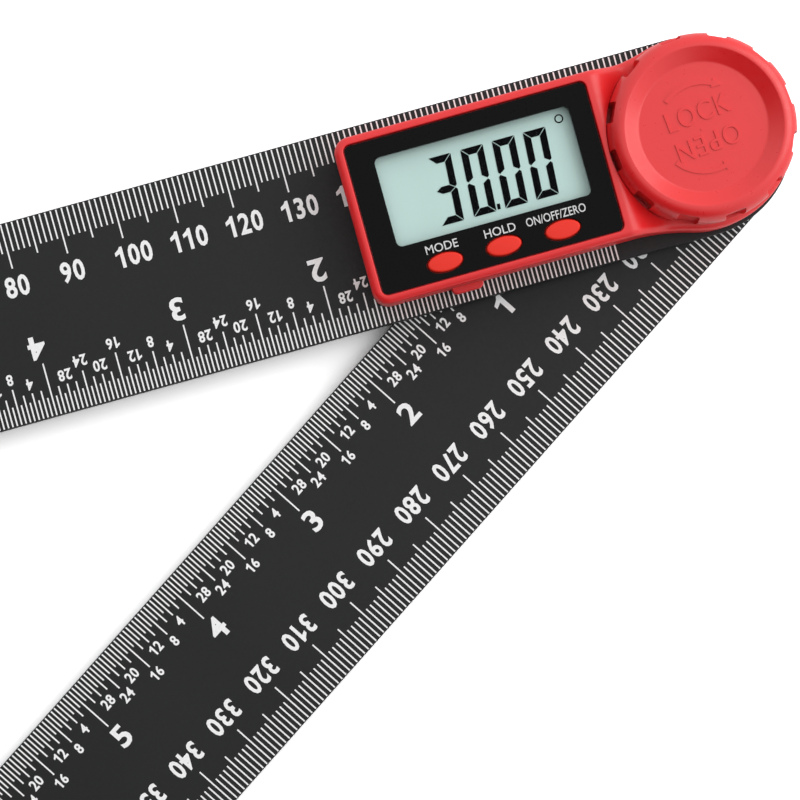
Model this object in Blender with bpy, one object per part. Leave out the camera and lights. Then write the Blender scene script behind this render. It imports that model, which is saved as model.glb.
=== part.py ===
"""A digital angle finder: two scale arms on one pivot, a display housing and a locking knob.

The pivot's axis is +Z through the origin, and z = 0 is the back of the rear arm. The front arm lies
along -X and carries the housing. The rear arm is turned open beneath it. Lengths are in metres.
"""

import math

import bmesh
import bpy
from mathutils import Matrix, Vector

# Fits that many pieces share
SEAT_GAP = 0.0003
RUN_GAP = 0.0005
PANEL_GAP = 0.0002
CUT_OVERRUN = 0.0010
BEDDING = 0.0005
MERGE_DISTANCE = 0.000002

# Arms
ARM_REACH = 0.2000
ARM_THICKNESS = 0.0030
ARM_LEDGE = 0.0007
ARM_CORNER_RADIUS = 0.0015
ARM_EDGE_CHAMFER = 0.0002
ARMS_ANGLE = math.radians(33.0)

# Coin cell, and the tray that carries it
CELL_DIAMETER = 0.0200
CELL_THICKNESS = 0.0032
CELL_EDGE = 0.0004
CELL_CAP_STEP = 0.0012
CELL_CAP_HEIGHT = 0.0004
TRAY_FLOOR = 0.0006
TRAY_SIDE = 0.0007
TRAY_END_SET_BACK = 0.0004
TAB_WIDTH = 0.0057
TAB_REACH = 0.0011
TAB_HEIGHT = 0.0022
TAB_END_RADIUS = 0.0010

# Housing: a display block that widens into a round head over the pivot
HOUSING_WALL = 0.0018
BAY_MARGIN = 0.0028
HEAD_ROOF = 0.0022
FLARE_RADIUS = 0.0360
BLOCK_ROOF = 0.0014
BLOCK_CORNER_RADIUS = 0.0028
TOP_EDGE_RADIUS = 0.0012
END_RIM = 0.0016
SIDE_RIM = 0.00144
RIM_PROUD = 0.0003
RIM_CHAMFER = 0.0004
SLOPE_LENGTH = 0.0077
KNOB_SIDE_WALL = 0.0006
KNOB_SIDE_GAP = 0.0003
KNOB_POCKET_STEP = 0.0001
BAY_RIB = 0.0010
BAY_RIB_GAP = 0.00025
BAY_END_STRIP = 0.00365

# Screw bosses of the housing, and its screws
BOSS_RADIUS = 0.0019
BOSS_CORNER_INSET = 0.0011
BOSS_SIDE_INSET = 0.0010
BOSS_WAIST_INSET = 0.0033
BOSS_HEAD_INSET = 0.0007
HEAD_SCREW_WALL = 0.0004
BOSS_HEAD_ANGLE = math.radians(42.0)
SCREW_SHANK_RADIUS = 0.0010
SCREW_HEAD_RADIUS = 0.0018
SCREW_HEAD_HEIGHT = 0.0011
SCREW_HEAD_SUNK = 0.0002
SCREW_REACH = 0.0055

# Front panel, lens and display
PANEL_THICKNESS = 0.0007
PANEL_CORNER_RADIUS = 0.0012
WINDOW_CORNER_RADIUS = 0.0010
WINDOW_END_MARGIN = 0.0046
WINDOW_KNOB_MARGIN = 0.0038
WINDOW_TOP_MARGIN = 0.00336
WINDOW_BUTTON_MARGIN = 0.00736
LENS_THICKNESS = 0.0005
DISPLAY_THICKNESS = 0.0011
DISPLAY_MARGIN = 0.0010
CONTACT_STRIP_WIDTH = 0.0016
CONTACT_STRIP_HEIGHT = 0.0004
CONTACT_STRIP_INSET = 0.0004
CONTACT_STRIP_END = 0.0018

# Buttons, and the domes they press
BUTTON_NAMES = ("button_mode", "button_hold", "button_power")
BUTTON_LENGTH = 0.0061
BUTTON_WIDTH = 0.0032
BUTTON_INSET = 0.0029
BUTTON_KNOB_MARGIN = 0.0102
BUTTON_END_MARGIN = 0.0117
BUTTON_PROUD = 0.0001
BUTTON_EDGE = 0.0003
BUTTON_FLANGE = 0.0006
BUTTON_FLANGE_HEIGHT = 0.0005
BUTTON_TRAVEL = 0.0005
BUTTON_STOP_GAP = 0.0001
PLUNGER_RADIUS = 0.0011
DOME_RADIUS = 0.0020
DOME_HEIGHT = 0.0004

# Circuit board and what it carries
BOARD_THICKNESS = 0.0008
BOARD_SCREW_STRIP = 0.0034
BOARD_SCREW_SHANK = 0.00075
BOARD_SCREW_HEAD = 0.0013
BOARD_SCREW_HEAD_HEIGHT = 0.0008
BOARD_SCREW_REACH = 0.0010
BOARD_BOSS_WALL = 0.00045
CHIP_RADIUS = 0.0030
CHIP_HEIGHT = 0.0008
CHIP_SPACING = 0.0035
LEAF_THICKNESS = 0.0002
LEAF_WIDTH = 0.0040
LEAF_FOOT = 0.0020
LEAF_SPAN = 0.0044
LEAF_BEND = 0.0009
LEAF_SLOT_SPARE = 0.0006
SIDE_LEAF_THICKNESS = 0.0003
SIDE_LEAF_WIDTH = 0.0060
SIDE_LEAF_HEIGHT = 0.0029
LINK_LENGTH = 0.0080
LINK_WIDTH = 0.0020

# Angle encoder round the pivot
ENCODER_AIR_GAP = 0.0004
ROTOR_THICKNESS = 0.0006
ROTOR_OVERHANG = 0.0020
ROTOR_LIFT = 0.0006
STATOR_THICKNESS = 0.0008
STATOR_RIM = 0.0002
STATOR_BORE_GAP = 0.0006
STATOR_SCREW_SHANK = 0.0007
STATOR_SCREW_HEAD = 0.0012
STATOR_SCREW_HEAD_HEIGHT = 0.0006
STATOR_SCREW_REACH = 0.0010
STATOR_SCREW_SPACING = 0.0050
STATOR_SCREW_OUT = 0.0030

# Pivot stud and hub
STUD_RADIUS = 0.0040
STUD_FLAT = 0.0032
STUD_HEAD_OVERHANG = 0.0030
STUD_HEAD_HEIGHT = 0.0016
HUB_FLANGE_RIM = 0.0022
HUB_FLANGE_HEIGHT = 0.0012
HUB_SLEEVE_RADIUS = 0.0090
HUB_SPIGOT_WALL = 0.0019
HUB_SCREW_COUNT = 3
HUB_SCREW_OUT = 0.0028
HUB_SCREW_SHANK = 0.0008
HUB_SCREW_HEAD = 0.0015
HUB_SCREW_HEAD_HEIGHT = 0.0007
HUB_SCREW_REACH = 0.0014
ARM_WASHER_THICKNESS = 0.0005
ARM_WASHER_WIDTH = 0.0020

# Locking knob, its nut and its thrust washer
HEAD_LEDGE = 0.0007
KNOB_CLEARANCE = 0.0004
KNOB_WALL = 0.0025
KNOB_ROOF = 0.0013
KNOB_DRAFT = 0.0003
KNOB_DRAFT_HEIGHT = 0.0024
KNOB_SHOULDER_HEIGHT = 0.0033
KNOB_LIP_RADIUS = 0.0004
DISH_DEPTH = 0.0015
DISH_RIM_SET_BACK = 0.0030
DISH_SLOPE_WIDTH = 0.0024
KNOB_BOSS_WALL = 0.0018
KNOB_TURN = math.radians(5.5)
NOTCH_COUNT = 12
NOTCH_WIDTH = 0.0036
NOTCH_DEPTH = 0.0011
NUT_ACROSS_FLATS = 0.0130
NUT_HEIGHT = 0.0028
THRUST_WASHER_RADIUS = 0.0080
THRUST_WASHER_THICKNESS = 0.0008

# Facets on round pieces
FINE_SIDES = 72
ROUND_SIDES = 36
SMALL_SIDES = 12
HEX_SIDES = 6
ARC_STEPS = 4
EDGE_STEPS = 2
SMOOTH_ANGLE = math.radians(32.0)
FLAT_ANGLE = math.radians(0.05)

# Plan of the pivot, from the stud outwards to the arms' edges
STUD_HEAD_RADIUS = STUD_RADIUS + STUD_HEAD_OVERHANG
HUB_SPIGOT_RADIUS = STUD_RADIUS + SEAT_GAP + HUB_SPIGOT_WALL
HUB_SCREW_CIRCLE_RADIUS = HUB_SLEEVE_RADIUS + HUB_SCREW_OUT
HUB_FLANGE_RADIUS = HUB_SCREW_CIRCLE_RADIUS + HUB_FLANGE_RIM
ROTOR_RADIUS = HUB_SLEEVE_RADIUS + ROTOR_OVERHANG
STATOR_RADIUS = ROTOR_RADIUS + STATOR_RIM
STATOR_BORE_RADIUS = HUB_SPIGOT_RADIUS + STATOR_BORE_GAP
ARM_BORE_RADIUS = HUB_SLEEVE_RADIUS + RUN_GAP
ARM_RECESS_RADIUS = ARM_BORE_RADIUS + ARM_WASHER_WIDTH + SEAT_GAP
HEAD_SCREW_RADIUS = ARM_RECESS_RADIUS + HEAD_SCREW_WALL + SCREW_HEAD_RADIUS + SEAT_GAP
HEAD_RADIUS = HEAD_SCREW_RADIUS + BOSS_HEAD_INSET + HOUSING_WALL
ARM_WIDTH = 2 * (HEAD_RADIUS + ARM_LEDGE)

# Plan of the housing, from the cell outwards and from the pivot to the display end
INNER_HALF_WIDTH = CELL_DIAMETER / 2 + BAY_MARGIN
HALF_WIDTH = INNER_HALF_WIDTH + HOUSING_WALL
KNOB_RADIUS = HEAD_RADIUS - HEAD_LEDGE
KNOB_POCKET_RADIUS = KNOB_RADIUS + KNOB_SIDE_GAP
PANEL_RIGHT = -(KNOB_POCKET_RADIUS + KNOB_SIDE_WALL)
BUTTON_X = PANEL_RIGHT - BUTTON_KNOB_MARGIN
RIB_RIGHT_X = BUTTON_X - DOME_RADIUS - BOARD_SCREW_STRIP
TRAY_RIGHT = RIB_RIGHT_X - BAY_RIB - BAY_RIB_GAP
TRAY_HALF_WIDTH = CELL_DIAMETER / 2 + SEAT_GAP + TRAY_SIDE
TRAY_X = TRAY_RIGHT - TRAY_HALF_WIDTH
TRAY_LEFT = TRAY_X - TRAY_HALF_WIDTH
PANEL_LEFT = TRAY_LEFT - BAY_END_STRIP
BUTTON_PITCH = (BUTTON_X - PANEL_LEFT - BUTTON_END_MARGIN) / 2
HOUSING_REACH = END_RIM - PANEL_LEFT
INNER_LEFT = HOUSING_WALL - HOUSING_REACH
PANEL_HALF_WIDTH = HALF_WIDTH - SIDE_RIM
WINDOW_LEFT = PANEL_LEFT + WINDOW_END_MARGIN
WINDOW_RIGHT = PANEL_RIGHT - WINDOW_KNOB_MARGIN
WINDOW_TOP = PANEL_HALF_WIDTH - WINDOW_TOP_MARGIN
WINDOW_BOTTOM = WINDOW_BUTTON_MARGIN - PANEL_HALF_WIDTH
BUTTON_Y = BUTTON_INSET - PANEL_HALF_WIDTH
BOARD_SCREW_X = RIB_RIGHT_X + BOARD_SCREW_STRIP / 2
LINK_X = PANEL_RIGHT - BOSS_WAIST_INSET

# Levels, from the rear arm's back upwards
FRONT_ARM_BACK = ARM_THICKNESS + SEAT_GAP
FRONT_ARM_TOP = FRONT_ARM_BACK + ARM_THICKNESS
BASE = FRONT_ARM_TOP + SEAT_GAP
CELL_BOTTOM = BASE + TRAY_FLOOR + SEAT_GAP
CELL_TOP = CELL_BOTTOM + CELL_THICKNESS
BOARD_BOTTOM = CELL_TOP + SEAT_GAP
BOARD_TOP = BOARD_BOTTOM + BOARD_THICKNESS
CONTACT_TOP = BOARD_TOP + SEAT_GAP + CONTACT_STRIP_HEIGHT
DOME_TOP = BOARD_TOP + SEAT_GAP + DOME_HEIGHT
DISPLAY_BOTTOM = CONTACT_TOP + SEAT_GAP
DISPLAY_TOP = DISPLAY_BOTTOM + DISPLAY_THICKNESS
LENS_BOTTOM = DISPLAY_TOP + SEAT_GAP
PANEL_BOTTOM = LENS_BOTTOM + LENS_THICKNESS + SEAT_GAP
PANEL_TOP = PANEL_BOTTOM + PANEL_THICKNESS
BLOCK_TOP = PANEL_TOP + RIM_PROUD
ROOF_TOP = PANEL_BOTTOM - SEAT_GAP
ROOF_UNDERSIDE = ROOF_TOP - BLOCK_ROOF
ROTOR_BOTTOM = FRONT_ARM_TOP + ROTOR_LIFT
ROTOR_TOP = ROTOR_BOTTOM + ROTOR_THICKNESS
STATOR_BOTTOM = ROTOR_TOP + ENCODER_AIR_GAP
STATOR_TOP = STATOR_BOTTOM + STATOR_THICKNESS
HEAD_UNDERSIDE = STATOR_TOP + SEAT_GAP
HEAD_TOP = HEAD_UNDERSIDE + HEAD_ROOF
WASHER_BOTTOM = HEAD_TOP + SEAT_GAP
WASHER_TOP = WASHER_BOTTOM + THRUST_WASHER_THICKNESS
NUT_BOTTOM = WASHER_TOP + SEAT_GAP
NUT_TOP = NUT_BOTTOM + NUT_HEIGHT
DISC_TOP = NUT_TOP + SEAT_GAP + KNOB_ROOF
KNOB_BOTTOM = HEAD_TOP + KNOB_CLEARANCE
KNOB_TOP = DISC_TOP + DISH_DEPTH
HUB_TOP = ROTOR_BOTTOM - SEAT_GAP
WASHER_RECESS_TOP = FRONT_ARM_BACK + ARM_WASHER_THICKNESS + SEAT_GAP


def clear_scene():
    for obj in list(bpy.data.objects):
        bpy.data.objects.remove(obj, do_unlink=True)


def make_material(name, colour, roughness, metallic=0.0, alpha=1.0):
    material = bpy.data.materials.new(name)
    material.use_nodes = True
    shader = material.node_tree.nodes["Principled BSDF"]
    shader.inputs["Base Color"].default_value = (*colour, 1.0)
    shader.inputs["Roughness"].default_value = roughness
    shader.inputs["Metallic"].default_value = metallic
    shader.inputs["Alpha"].default_value = alpha
    material.diffuse_color = (*colour, alpha)
    return material


def make_empty(name, location=(0, 0, 0), turn=0):
    empty = bpy.data.objects.new(name, None)
    empty.location = location
    empty.rotation_euler = (0, 0, turn)
    bpy.context.scene.collection.objects.link(empty)
    return empty


def make_object(name, bm, material=None):
    bmesh.ops.recalc_face_normals(bm, faces=bm.faces)
    mesh = bpy.data.meshes.new(name)
    bm.to_mesh(mesh)
    bm.free()
    if material:
        mesh.materials.append(material)
    obj = bpy.data.objects.new(name, mesh)
    bpy.context.scene.collection.objects.link(obj)
    return obj


def clean(mesh):
    """Welds the slivers that a cut leaves, and joins the flat faces that it split."""
    bm = bmesh.new()
    bm.from_mesh(mesh)
    bmesh.ops.remove_doubles(bm, verts=bm.verts, dist=MERGE_DISTANCE)
    bmesh.ops.dissolve_degenerate(bm, edges=bm.edges, dist=MERGE_DISTANCE)
    bmesh.ops.dissolve_limit(bm, angle_limit=FLAT_ANGLE, verts=bm.verts, edges=bm.edges)
    bm.to_mesh(mesh)
    bm.free()


def combine(obj, bm, operation="DIFFERENCE"):
    """Cuts the tool out of the object, or joins it on, and throws the tool away."""
    tool = make_object(obj.name + "_tool", bm)
    modifier = obj.modifiers.new("combine", "BOOLEAN")
    modifier.operation = operation
    modifier.solver = "EXACT"
    modifier.object = tool
    depsgraph = bpy.context.evaluated_depsgraph_get()
    shaped = bpy.data.meshes.new_from_object(obj.evaluated_get(depsgraph))
    shaped.name = obj.name
    clean(shaped)
    obj.modifiers.clear()
    old_mesh, tool_mesh = obj.data, tool.data
    obj.data = shaped
    bpy.data.objects.remove(tool, do_unlink=True)
    bpy.data.meshes.remove(old_mesh)
    bpy.data.meshes.remove(tool_mesh)


def finish(obj, carrier=None, place=(0, 0, 0)):
    """Shades the piece, moves it to its place and hangs it on the empty that carries it."""
    obj.data.shade_smooth()
    obj.data.set_sharp_from_angle(angle=SMOOTH_ANGLE)
    obj.location = place
    obj.parent = carrier
    return obj


def arc(centre_x, centre_y, radius, start, end, steps):
    angles = [start + (end - start) * step / steps for step in range(steps + 1)]
    return [(centre_x + radius * math.cos(a), centre_y + radius * math.sin(a)) for a in angles]


def rounded_box(left, right, low, high, radius, steps=ARC_STEPS):
    """Gives a function of an inset that returns the outline, so a wall can step or lean."""
    def outline(inset):
        corner = max(radius - inset, radius / 4)
        x0, x1 = left + inset + corner, right - inset - corner
        y0, y1 = low + inset + corner, high - inset - corner
        quarter = math.pi / 2
        points = []
        for turn, (x, y) in enumerate(((x1, y1), (x0, y1), (x0, y0), (x1, y0))):
            points += arc(x, y, corner, turn * quarter, (turn + 1) * quarter, steps)
        return points
    return outline


def ellipse(x, y, length, width, sides=ROUND_SIDES):
    def outline(inset):
        angles = [math.tau * side / sides for side in range(sides)]
        half_length, half_width = length / 2 - inset, width / 2 - inset
        return [(x + half_length * math.cos(a), y + half_width * math.sin(a)) for a in angles]
    return outline


def housing_outline(inset):
    """The display block's straight sides run through concave flares into the round head."""
    half_width, head = HALF_WIDTH - inset, HEAD_RADIUS - inset
    flare = FLARE_RADIUS + inset
    flare_y = HALF_WIDTH + FLARE_RADIUS
    flare_x = math.sqrt((HEAD_RADIUS + FLARE_RADIUS) ** 2 - flare_y ** 2)
    lean = math.atan2(flare_x, flare_y)
    quarter = math.pi / 2
    corner = max(BLOCK_CORNER_RADIUS - inset, BLOCK_CORNER_RADIUS / 4)
    left = inset + corner - HOUSING_REACH
    lower_end = arc(left, corner - half_width, corner, -2 * quarter, -quarter, ARC_STEPS)
    lower_flare = arc(-flare_x, -flare_y, flare, quarter, quarter - lean, ARC_STEPS)
    around = arc(0, 0, head, -quarter - lean, quarter + lean, FINE_SIDES // 2)
    upper_flare = arc(-flare_x, flare_y, flare, lean - quarter, -quarter, ARC_STEPS)
    upper_end = arc(left, half_width - corner, corner, quarter, 2 * quarter, ARC_STEPS)
    return lower_end + lower_flare + around[1:-1] + upper_flare + upper_end


def arm_outline(inset):
    half_width = ARM_WIDTH / 2 - inset
    quarter = math.pi / 2
    corner = ARM_CORNER_RADIUS - inset
    end = inset + corner - ARM_REACH
    points = arc(0, 0, half_width, -quarter, quarter, FINE_SIDES // 2)
    points += arc(end, half_width - corner, corner, quarter, 2 * quarter, ARC_STEPS)
    return points + arc(end, corner - half_width, corner, 2 * quarter, 3 * quarter, ARC_STEPS)


def tiered(outline, tiers):
    """A closed solid whose outline is inset by the given amount at each level, from below."""
    bm = bmesh.new()
    first_inset, level = tiers[0]
    face = bm.faces.new([bm.verts.new((x, y, level)) for x, y in outline(first_inset)])
    for number, (inset, level) in enumerate(tiers[1:]):
        grown = bmesh.ops.extrude_face_region(bm, geom=[face], use_keep_orig=True)
        if number:
            bmesh.ops.delete(bm, geom=[face], context="FACES_ONLY")
        face = next(item for item in grown["geom"] if isinstance(item, bmesh.types.BMFace))
        for vert, (x, y) in zip(face.verts, outline(inset)):
            vert.co = (x, y, level)
    return bm


def prism(outline, low, high):
    return tiered(outline, ((0, low), (0, high)))


def chamfered(outline, low, high, chamfer):
    """A prism with a small chamfer round both of its faces."""
    return tiered(outline, ((chamfer, low), (0, low + chamfer), (0, high - chamfer), (chamfer, high)))


def rounded_top(radius, top, steps=ARC_STEPS):
    """Tiers that round the edge below a flat top."""
    angles = [math.pi / 2 * step / steps for step in range(steps + 1)]
    return tuple((radius * (1 - math.cos(a)), top - radius * (1 - math.sin(a))) for a in angles)


def box(left, right, low, high, bottom, top, bm=None):
    bm = bm or bmesh.new()
    size = Matrix.Diagonal((right - left, high - low, top - bottom, 1))
    middle = Vector((left + right, low + high, bottom + top)) / 2
    bmesh.ops.create_cube(bm, size=1, matrix=Matrix.Translation(middle) @ size)
    return bm


def turned(profile, sides=ROUND_SIDES, bm=None, x=0, y=0):
    """Spins a profile of (radius, level) points; a profile that starts off the axis is a closed ring."""
    bm = bm or bmesh.new()
    verts = [bm.verts.new((radius, 0, level)) for radius, level in profile]
    edges = [bm.edges.new(pair) for pair in zip(verts, verts[1:])]
    if profile[0][0] > 0:
        edges.append(bm.edges.new((verts[-1], verts[0])))
    before = set(bm.verts) - set(verts)
    bmesh.ops.spin(bm, geom=verts + edges, axis=(0, 0, 1), cent=(0, 0, 0), angle=math.tau,
                   steps=sides, use_merge=True)
    spun = [vert for vert in bm.verts if vert not in before]
    bmesh.ops.remove_doubles(bm, verts=spun, dist=MERGE_DISTANCE)
    spun = [vert for vert in bm.verts if vert not in before]
    bmesh.ops.translate(bm, verts=spun, vec=(x, y, 0))
    return bm


def cylinder(radius, bottom, top, sides=ROUND_SIDES, bm=None, x=0, y=0):
    return turned(((0, bottom), (radius, bottom), (radius, top), (0, top)), sides, bm, x, y)


def ring(inner, outer, bottom, top, sides=ROUND_SIDES):
    return turned(((inner, bottom), (outer, bottom), (outer, top), (inner, top)), sides)


def flatted_rod(radius, flat, bottom, top):
    """A round rod with a flat on each side, square to Y."""
    bm = cylinder(radius, bottom, top)
    for side in (-1, 1):
        cut = bmesh.ops.bisect_plane(bm, geom=bm.verts[:] + bm.edges[:] + bm.faces[:],
                                     plane_co=(0, side * flat, 0), plane_no=(0, side, 0),
                                     clear_outer=True)
        rim = [item for item in cut["geom_cut"] if isinstance(item, bmesh.types.BMEdge)]
        bmesh.ops.contextual_create(bm, geom=rim)
    return bm


def screw_profile(head_radius, head_height, shank_radius, start, reach):
    """A screw that points up: its head starts at the given level, and its shank runs on from it."""
    edge = head_height / 4
    neck = start + head_height
    tip = neck + reach
    return ((0, start), (head_radius - edge, start), (head_radius, start + edge),
            (head_radius, neck), (shank_radius, neck), (shank_radius, tip - shank_radius / 2),
            (shank_radius / 2, tip), (0, tip))


def housing_screw_places():
    """Two at the display end, two at the waist and two in the head's far side."""
    side = INNER_HALF_WIDTH - BOSS_SIDE_INSET
    head_x = HEAD_SCREW_RADIUS * math.cos(BOSS_HEAD_ANGLE)
    head_y = HEAD_SCREW_RADIUS * math.sin(BOSS_HEAD_ANGLE)
    places = []
    for sign in (-1, 1):
        places.append((INNER_LEFT + BOSS_CORNER_INSET, sign * side))
        places.append((PANEL_RIGHT - BOSS_WAIST_INSET, sign * side))
        places.append((head_x, sign * head_y))
    return places


def hub_screw_places():
    turns = [math.tau * number / HUB_SCREW_COUNT for number in range(HUB_SCREW_COUNT)]
    radius = HUB_SCREW_CIRCLE_RADIUS
    return [(radius * math.cos(turn), radius * math.sin(turn)) for turn in turns]


def stator_screw_places():
    x = -(STATOR_RADIUS + STATOR_SCREW_OUT)
    return [(x, sign * STATOR_SCREW_SPACING / 2) for sign in (-1, 1)]


def button_places():
    return [(BUTTON_X - BUTTON_PITCH * number, BUTTON_Y) for number in (2, 1, 0)]


def slope_drop(x):
    """How far the roof lies below the block's top: nothing over the display, all of it at the head."""
    start = PANEL_RIGHT + KNOB_SIDE_WALL
    along = min(max((x - start) / SLOPE_LENGTH, 0), 1)
    return (BLOCK_TOP - HEAD_TOP) * (1 - math.cos(math.pi * along)) / 2


def build_front_arm(material):
    arm = make_object("front_arm", chamfered(arm_outline, FRONT_ARM_BACK, FRONT_ARM_TOP,
                                             ARM_EDGE_CHAMFER), material)
    below, above = FRONT_ARM_BACK - CUT_OVERRUN, FRONT_ARM_TOP + CUT_OVERRUN
    holes = turned(((0, below), (ARM_RECESS_RADIUS, below), (ARM_RECESS_RADIUS, WASHER_RECESS_TOP),
                    (ARM_BORE_RADIUS, WASHER_RECESS_TOP), (ARM_BORE_RADIUS, above), (0, above)))
    head = SCREW_HEAD_RADIUS + SEAT_GAP
    neck = FRONT_ARM_BACK + SCREW_HEAD_SUNK + SCREW_HEAD_HEIGHT + SEAT_GAP
    shank = SCREW_SHANK_RADIUS + SEAT_GAP
    for x, y in housing_screw_places():
        turned(((0, below), (head, below), (head, neck), (shank, neck), (shank, above), (0, above)),
               SMALL_SIDES, holes, x, y)
    combine(arm, holes)
    return finish(arm)


def build_rear_arm(material, carrier):
    arm = make_object("rear_arm", chamfered(arm_outline, 0, ARM_THICKNESS, ARM_EDGE_CHAMFER),
                      material)
    seat = HUB_FLANGE_RADIUS + SEAT_GAP
    floor = HUB_FLANGE_HEIGHT + SEAT_GAP
    bore = HUB_SLEEVE_RADIUS + SEAT_GAP
    above = ARM_THICKNESS + CUT_OVERRUN
    combine(arm, turned(((0, -CUT_OVERRUN), (seat, -CUT_OVERRUN), (seat, floor), (bore, floor),
                         (bore, above), (0, above))))
    pilots = bmesh.new()
    tip = HUB_SCREW_HEAD_HEIGHT + HUB_SCREW_REACH + SEAT_GAP
    for x, y in hub_screw_places():
        cylinder(HUB_SCREW_SHANK + SEAT_GAP, floor - CUT_OVERRUN, tip, SMALL_SIDES, pilots, x, y)
    combine(arm, pilots)
    return finish(arm, carrier)


def build_pivot_hub(material, carrier):
    """A flanged sleeve let into the rear arm's back; it carries the rotor up through the front arm."""
    recess = STUD_HEAD_RADIUS + SEAT_GAP
    recess_top = STUD_HEAD_HEIGHT + SEAT_GAP
    bore = STUD_RADIUS + SEAT_GAP
    hub = make_object("pivot_hub", turned(
        ((recess, 0), (HUB_FLANGE_RADIUS, 0), (HUB_FLANGE_RADIUS, HUB_FLANGE_HEIGHT),
         (HUB_SLEEVE_RADIUS, HUB_FLANGE_HEIGHT), (HUB_SLEEVE_RADIUS, HUB_TOP),
         (HUB_SPIGOT_RADIUS, HUB_TOP), (HUB_SPIGOT_RADIUS, ROTOR_TOP), (bore, ROTOR_TOP),
         (bore, recess_top), (recess, recess_top))), material)
    holes = bmesh.new()
    head = HUB_SCREW_HEAD + SEAT_GAP
    neck = HUB_SCREW_HEAD_HEIGHT + SEAT_GAP / 2
    shank = HUB_SCREW_SHANK + SEAT_GAP
    above = HUB_FLANGE_HEIGHT + SEAT_GAP / 2
    for x, y in hub_screw_places():
        turned(((0, -CUT_OVERRUN), (head, -CUT_OVERRUN), (head, neck), (shank, neck),
                (shank, above), (0, above)), SMALL_SIDES, holes, x, y)
    combine(hub, holes)
    return finish(hub, carrier)


def build_pivot_stud(material):
    """Its head clamps the hub from behind, and its flats stop it turning in the housing's roof."""
    neck = HEAD_UNDERSIDE - SEAT_GAP
    stud = make_object("pivot_stud", turned(
        ((0, 0), (STUD_HEAD_RADIUS, 0), (STUD_HEAD_RADIUS, STUD_HEAD_HEIGHT),
         (STUD_RADIUS, STUD_HEAD_HEIGHT), (STUD_RADIUS, neck), (0, neck))), material)
    combine(stud, flatted_rod(STUD_RADIUS, STUD_FLAT, neck - BEDDING, NUT_TOP), "UNION")
    return finish(stud)


def build_housing(material):
    tiers = ((0, BASE),) + rounded_top(TOP_EDGE_RADIUS, BLOCK_TOP)
    shell = tiered(housing_outline, tiers)
    start = PANEL_RIGHT + KNOB_SIDE_WALL
    steps = 2 * ARC_STEPS
    for step in range(steps + 1):
        bmesh.ops.bisect_plane(shell, geom=shell.verts[:] + shell.edges[:] + shell.faces[:],
                               plane_co=(start + SLOPE_LENGTH * step / steps, 0, 0),
                               plane_no=(1, 0, 0), dist=MERGE_DISTANCE)
    for vert in shell.verts:
        if vert.co.z > BASE + CUT_OVERRUN:
            vert.co.z -= slope_drop(vert.co.x)
    housing = make_object("housing", shell, material)

    below = BASE - CUT_OVERRUN
    combine(housing, prism(lambda inset: housing_outline(HOUSING_WALL), below, HEAD_UNDERSIDE))
    block_right = PANEL_RIGHT - HOUSING_WALL / 2
    combine(housing, box(INNER_LEFT, block_right, -INNER_HALF_WIDTH, INNER_HALF_WIDTH,
                         below, ROOF_UNDERSIDE))
    add_housing_ribs(housing)
    cut_housing_openings(housing)
    return finish(housing)


def add_housing_ribs(housing):
    """Screw bosses, and the two ribs that guide the battery tray."""
    bottom = BASE + PANEL_GAP
    for x, y in housing_screw_places():
        roof = HEAD_UNDERSIDE if x > 0 else ROOF_UNDERSIDE
        combine(housing, cylinder(BOSS_RADIUS, bottom, roof + BEDDING, SMALL_SIDES, None, x, y),
                "UNION")
    combine(housing, cylinder(BOARD_SCREW_SHANK + SEAT_GAP + BOARD_BOSS_WALL, BOARD_TOP + SEAT_GAP,
                              ROOF_UNDERSIDE + BEDDING, SMALL_SIDES, None, BOARD_SCREW_X, BUTTON_Y),
            "UNION")
    reach = INNER_HALF_WIDTH + BEDDING
    for left in (RIB_RIGHT_X - BAY_RIB, TRAY_LEFT - BAY_RIB_GAP - BAY_RIB):
        combine(housing, box(left, left + BAY_RIB, -reach, reach, bottom, CELL_TOP), "UNION")


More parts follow.
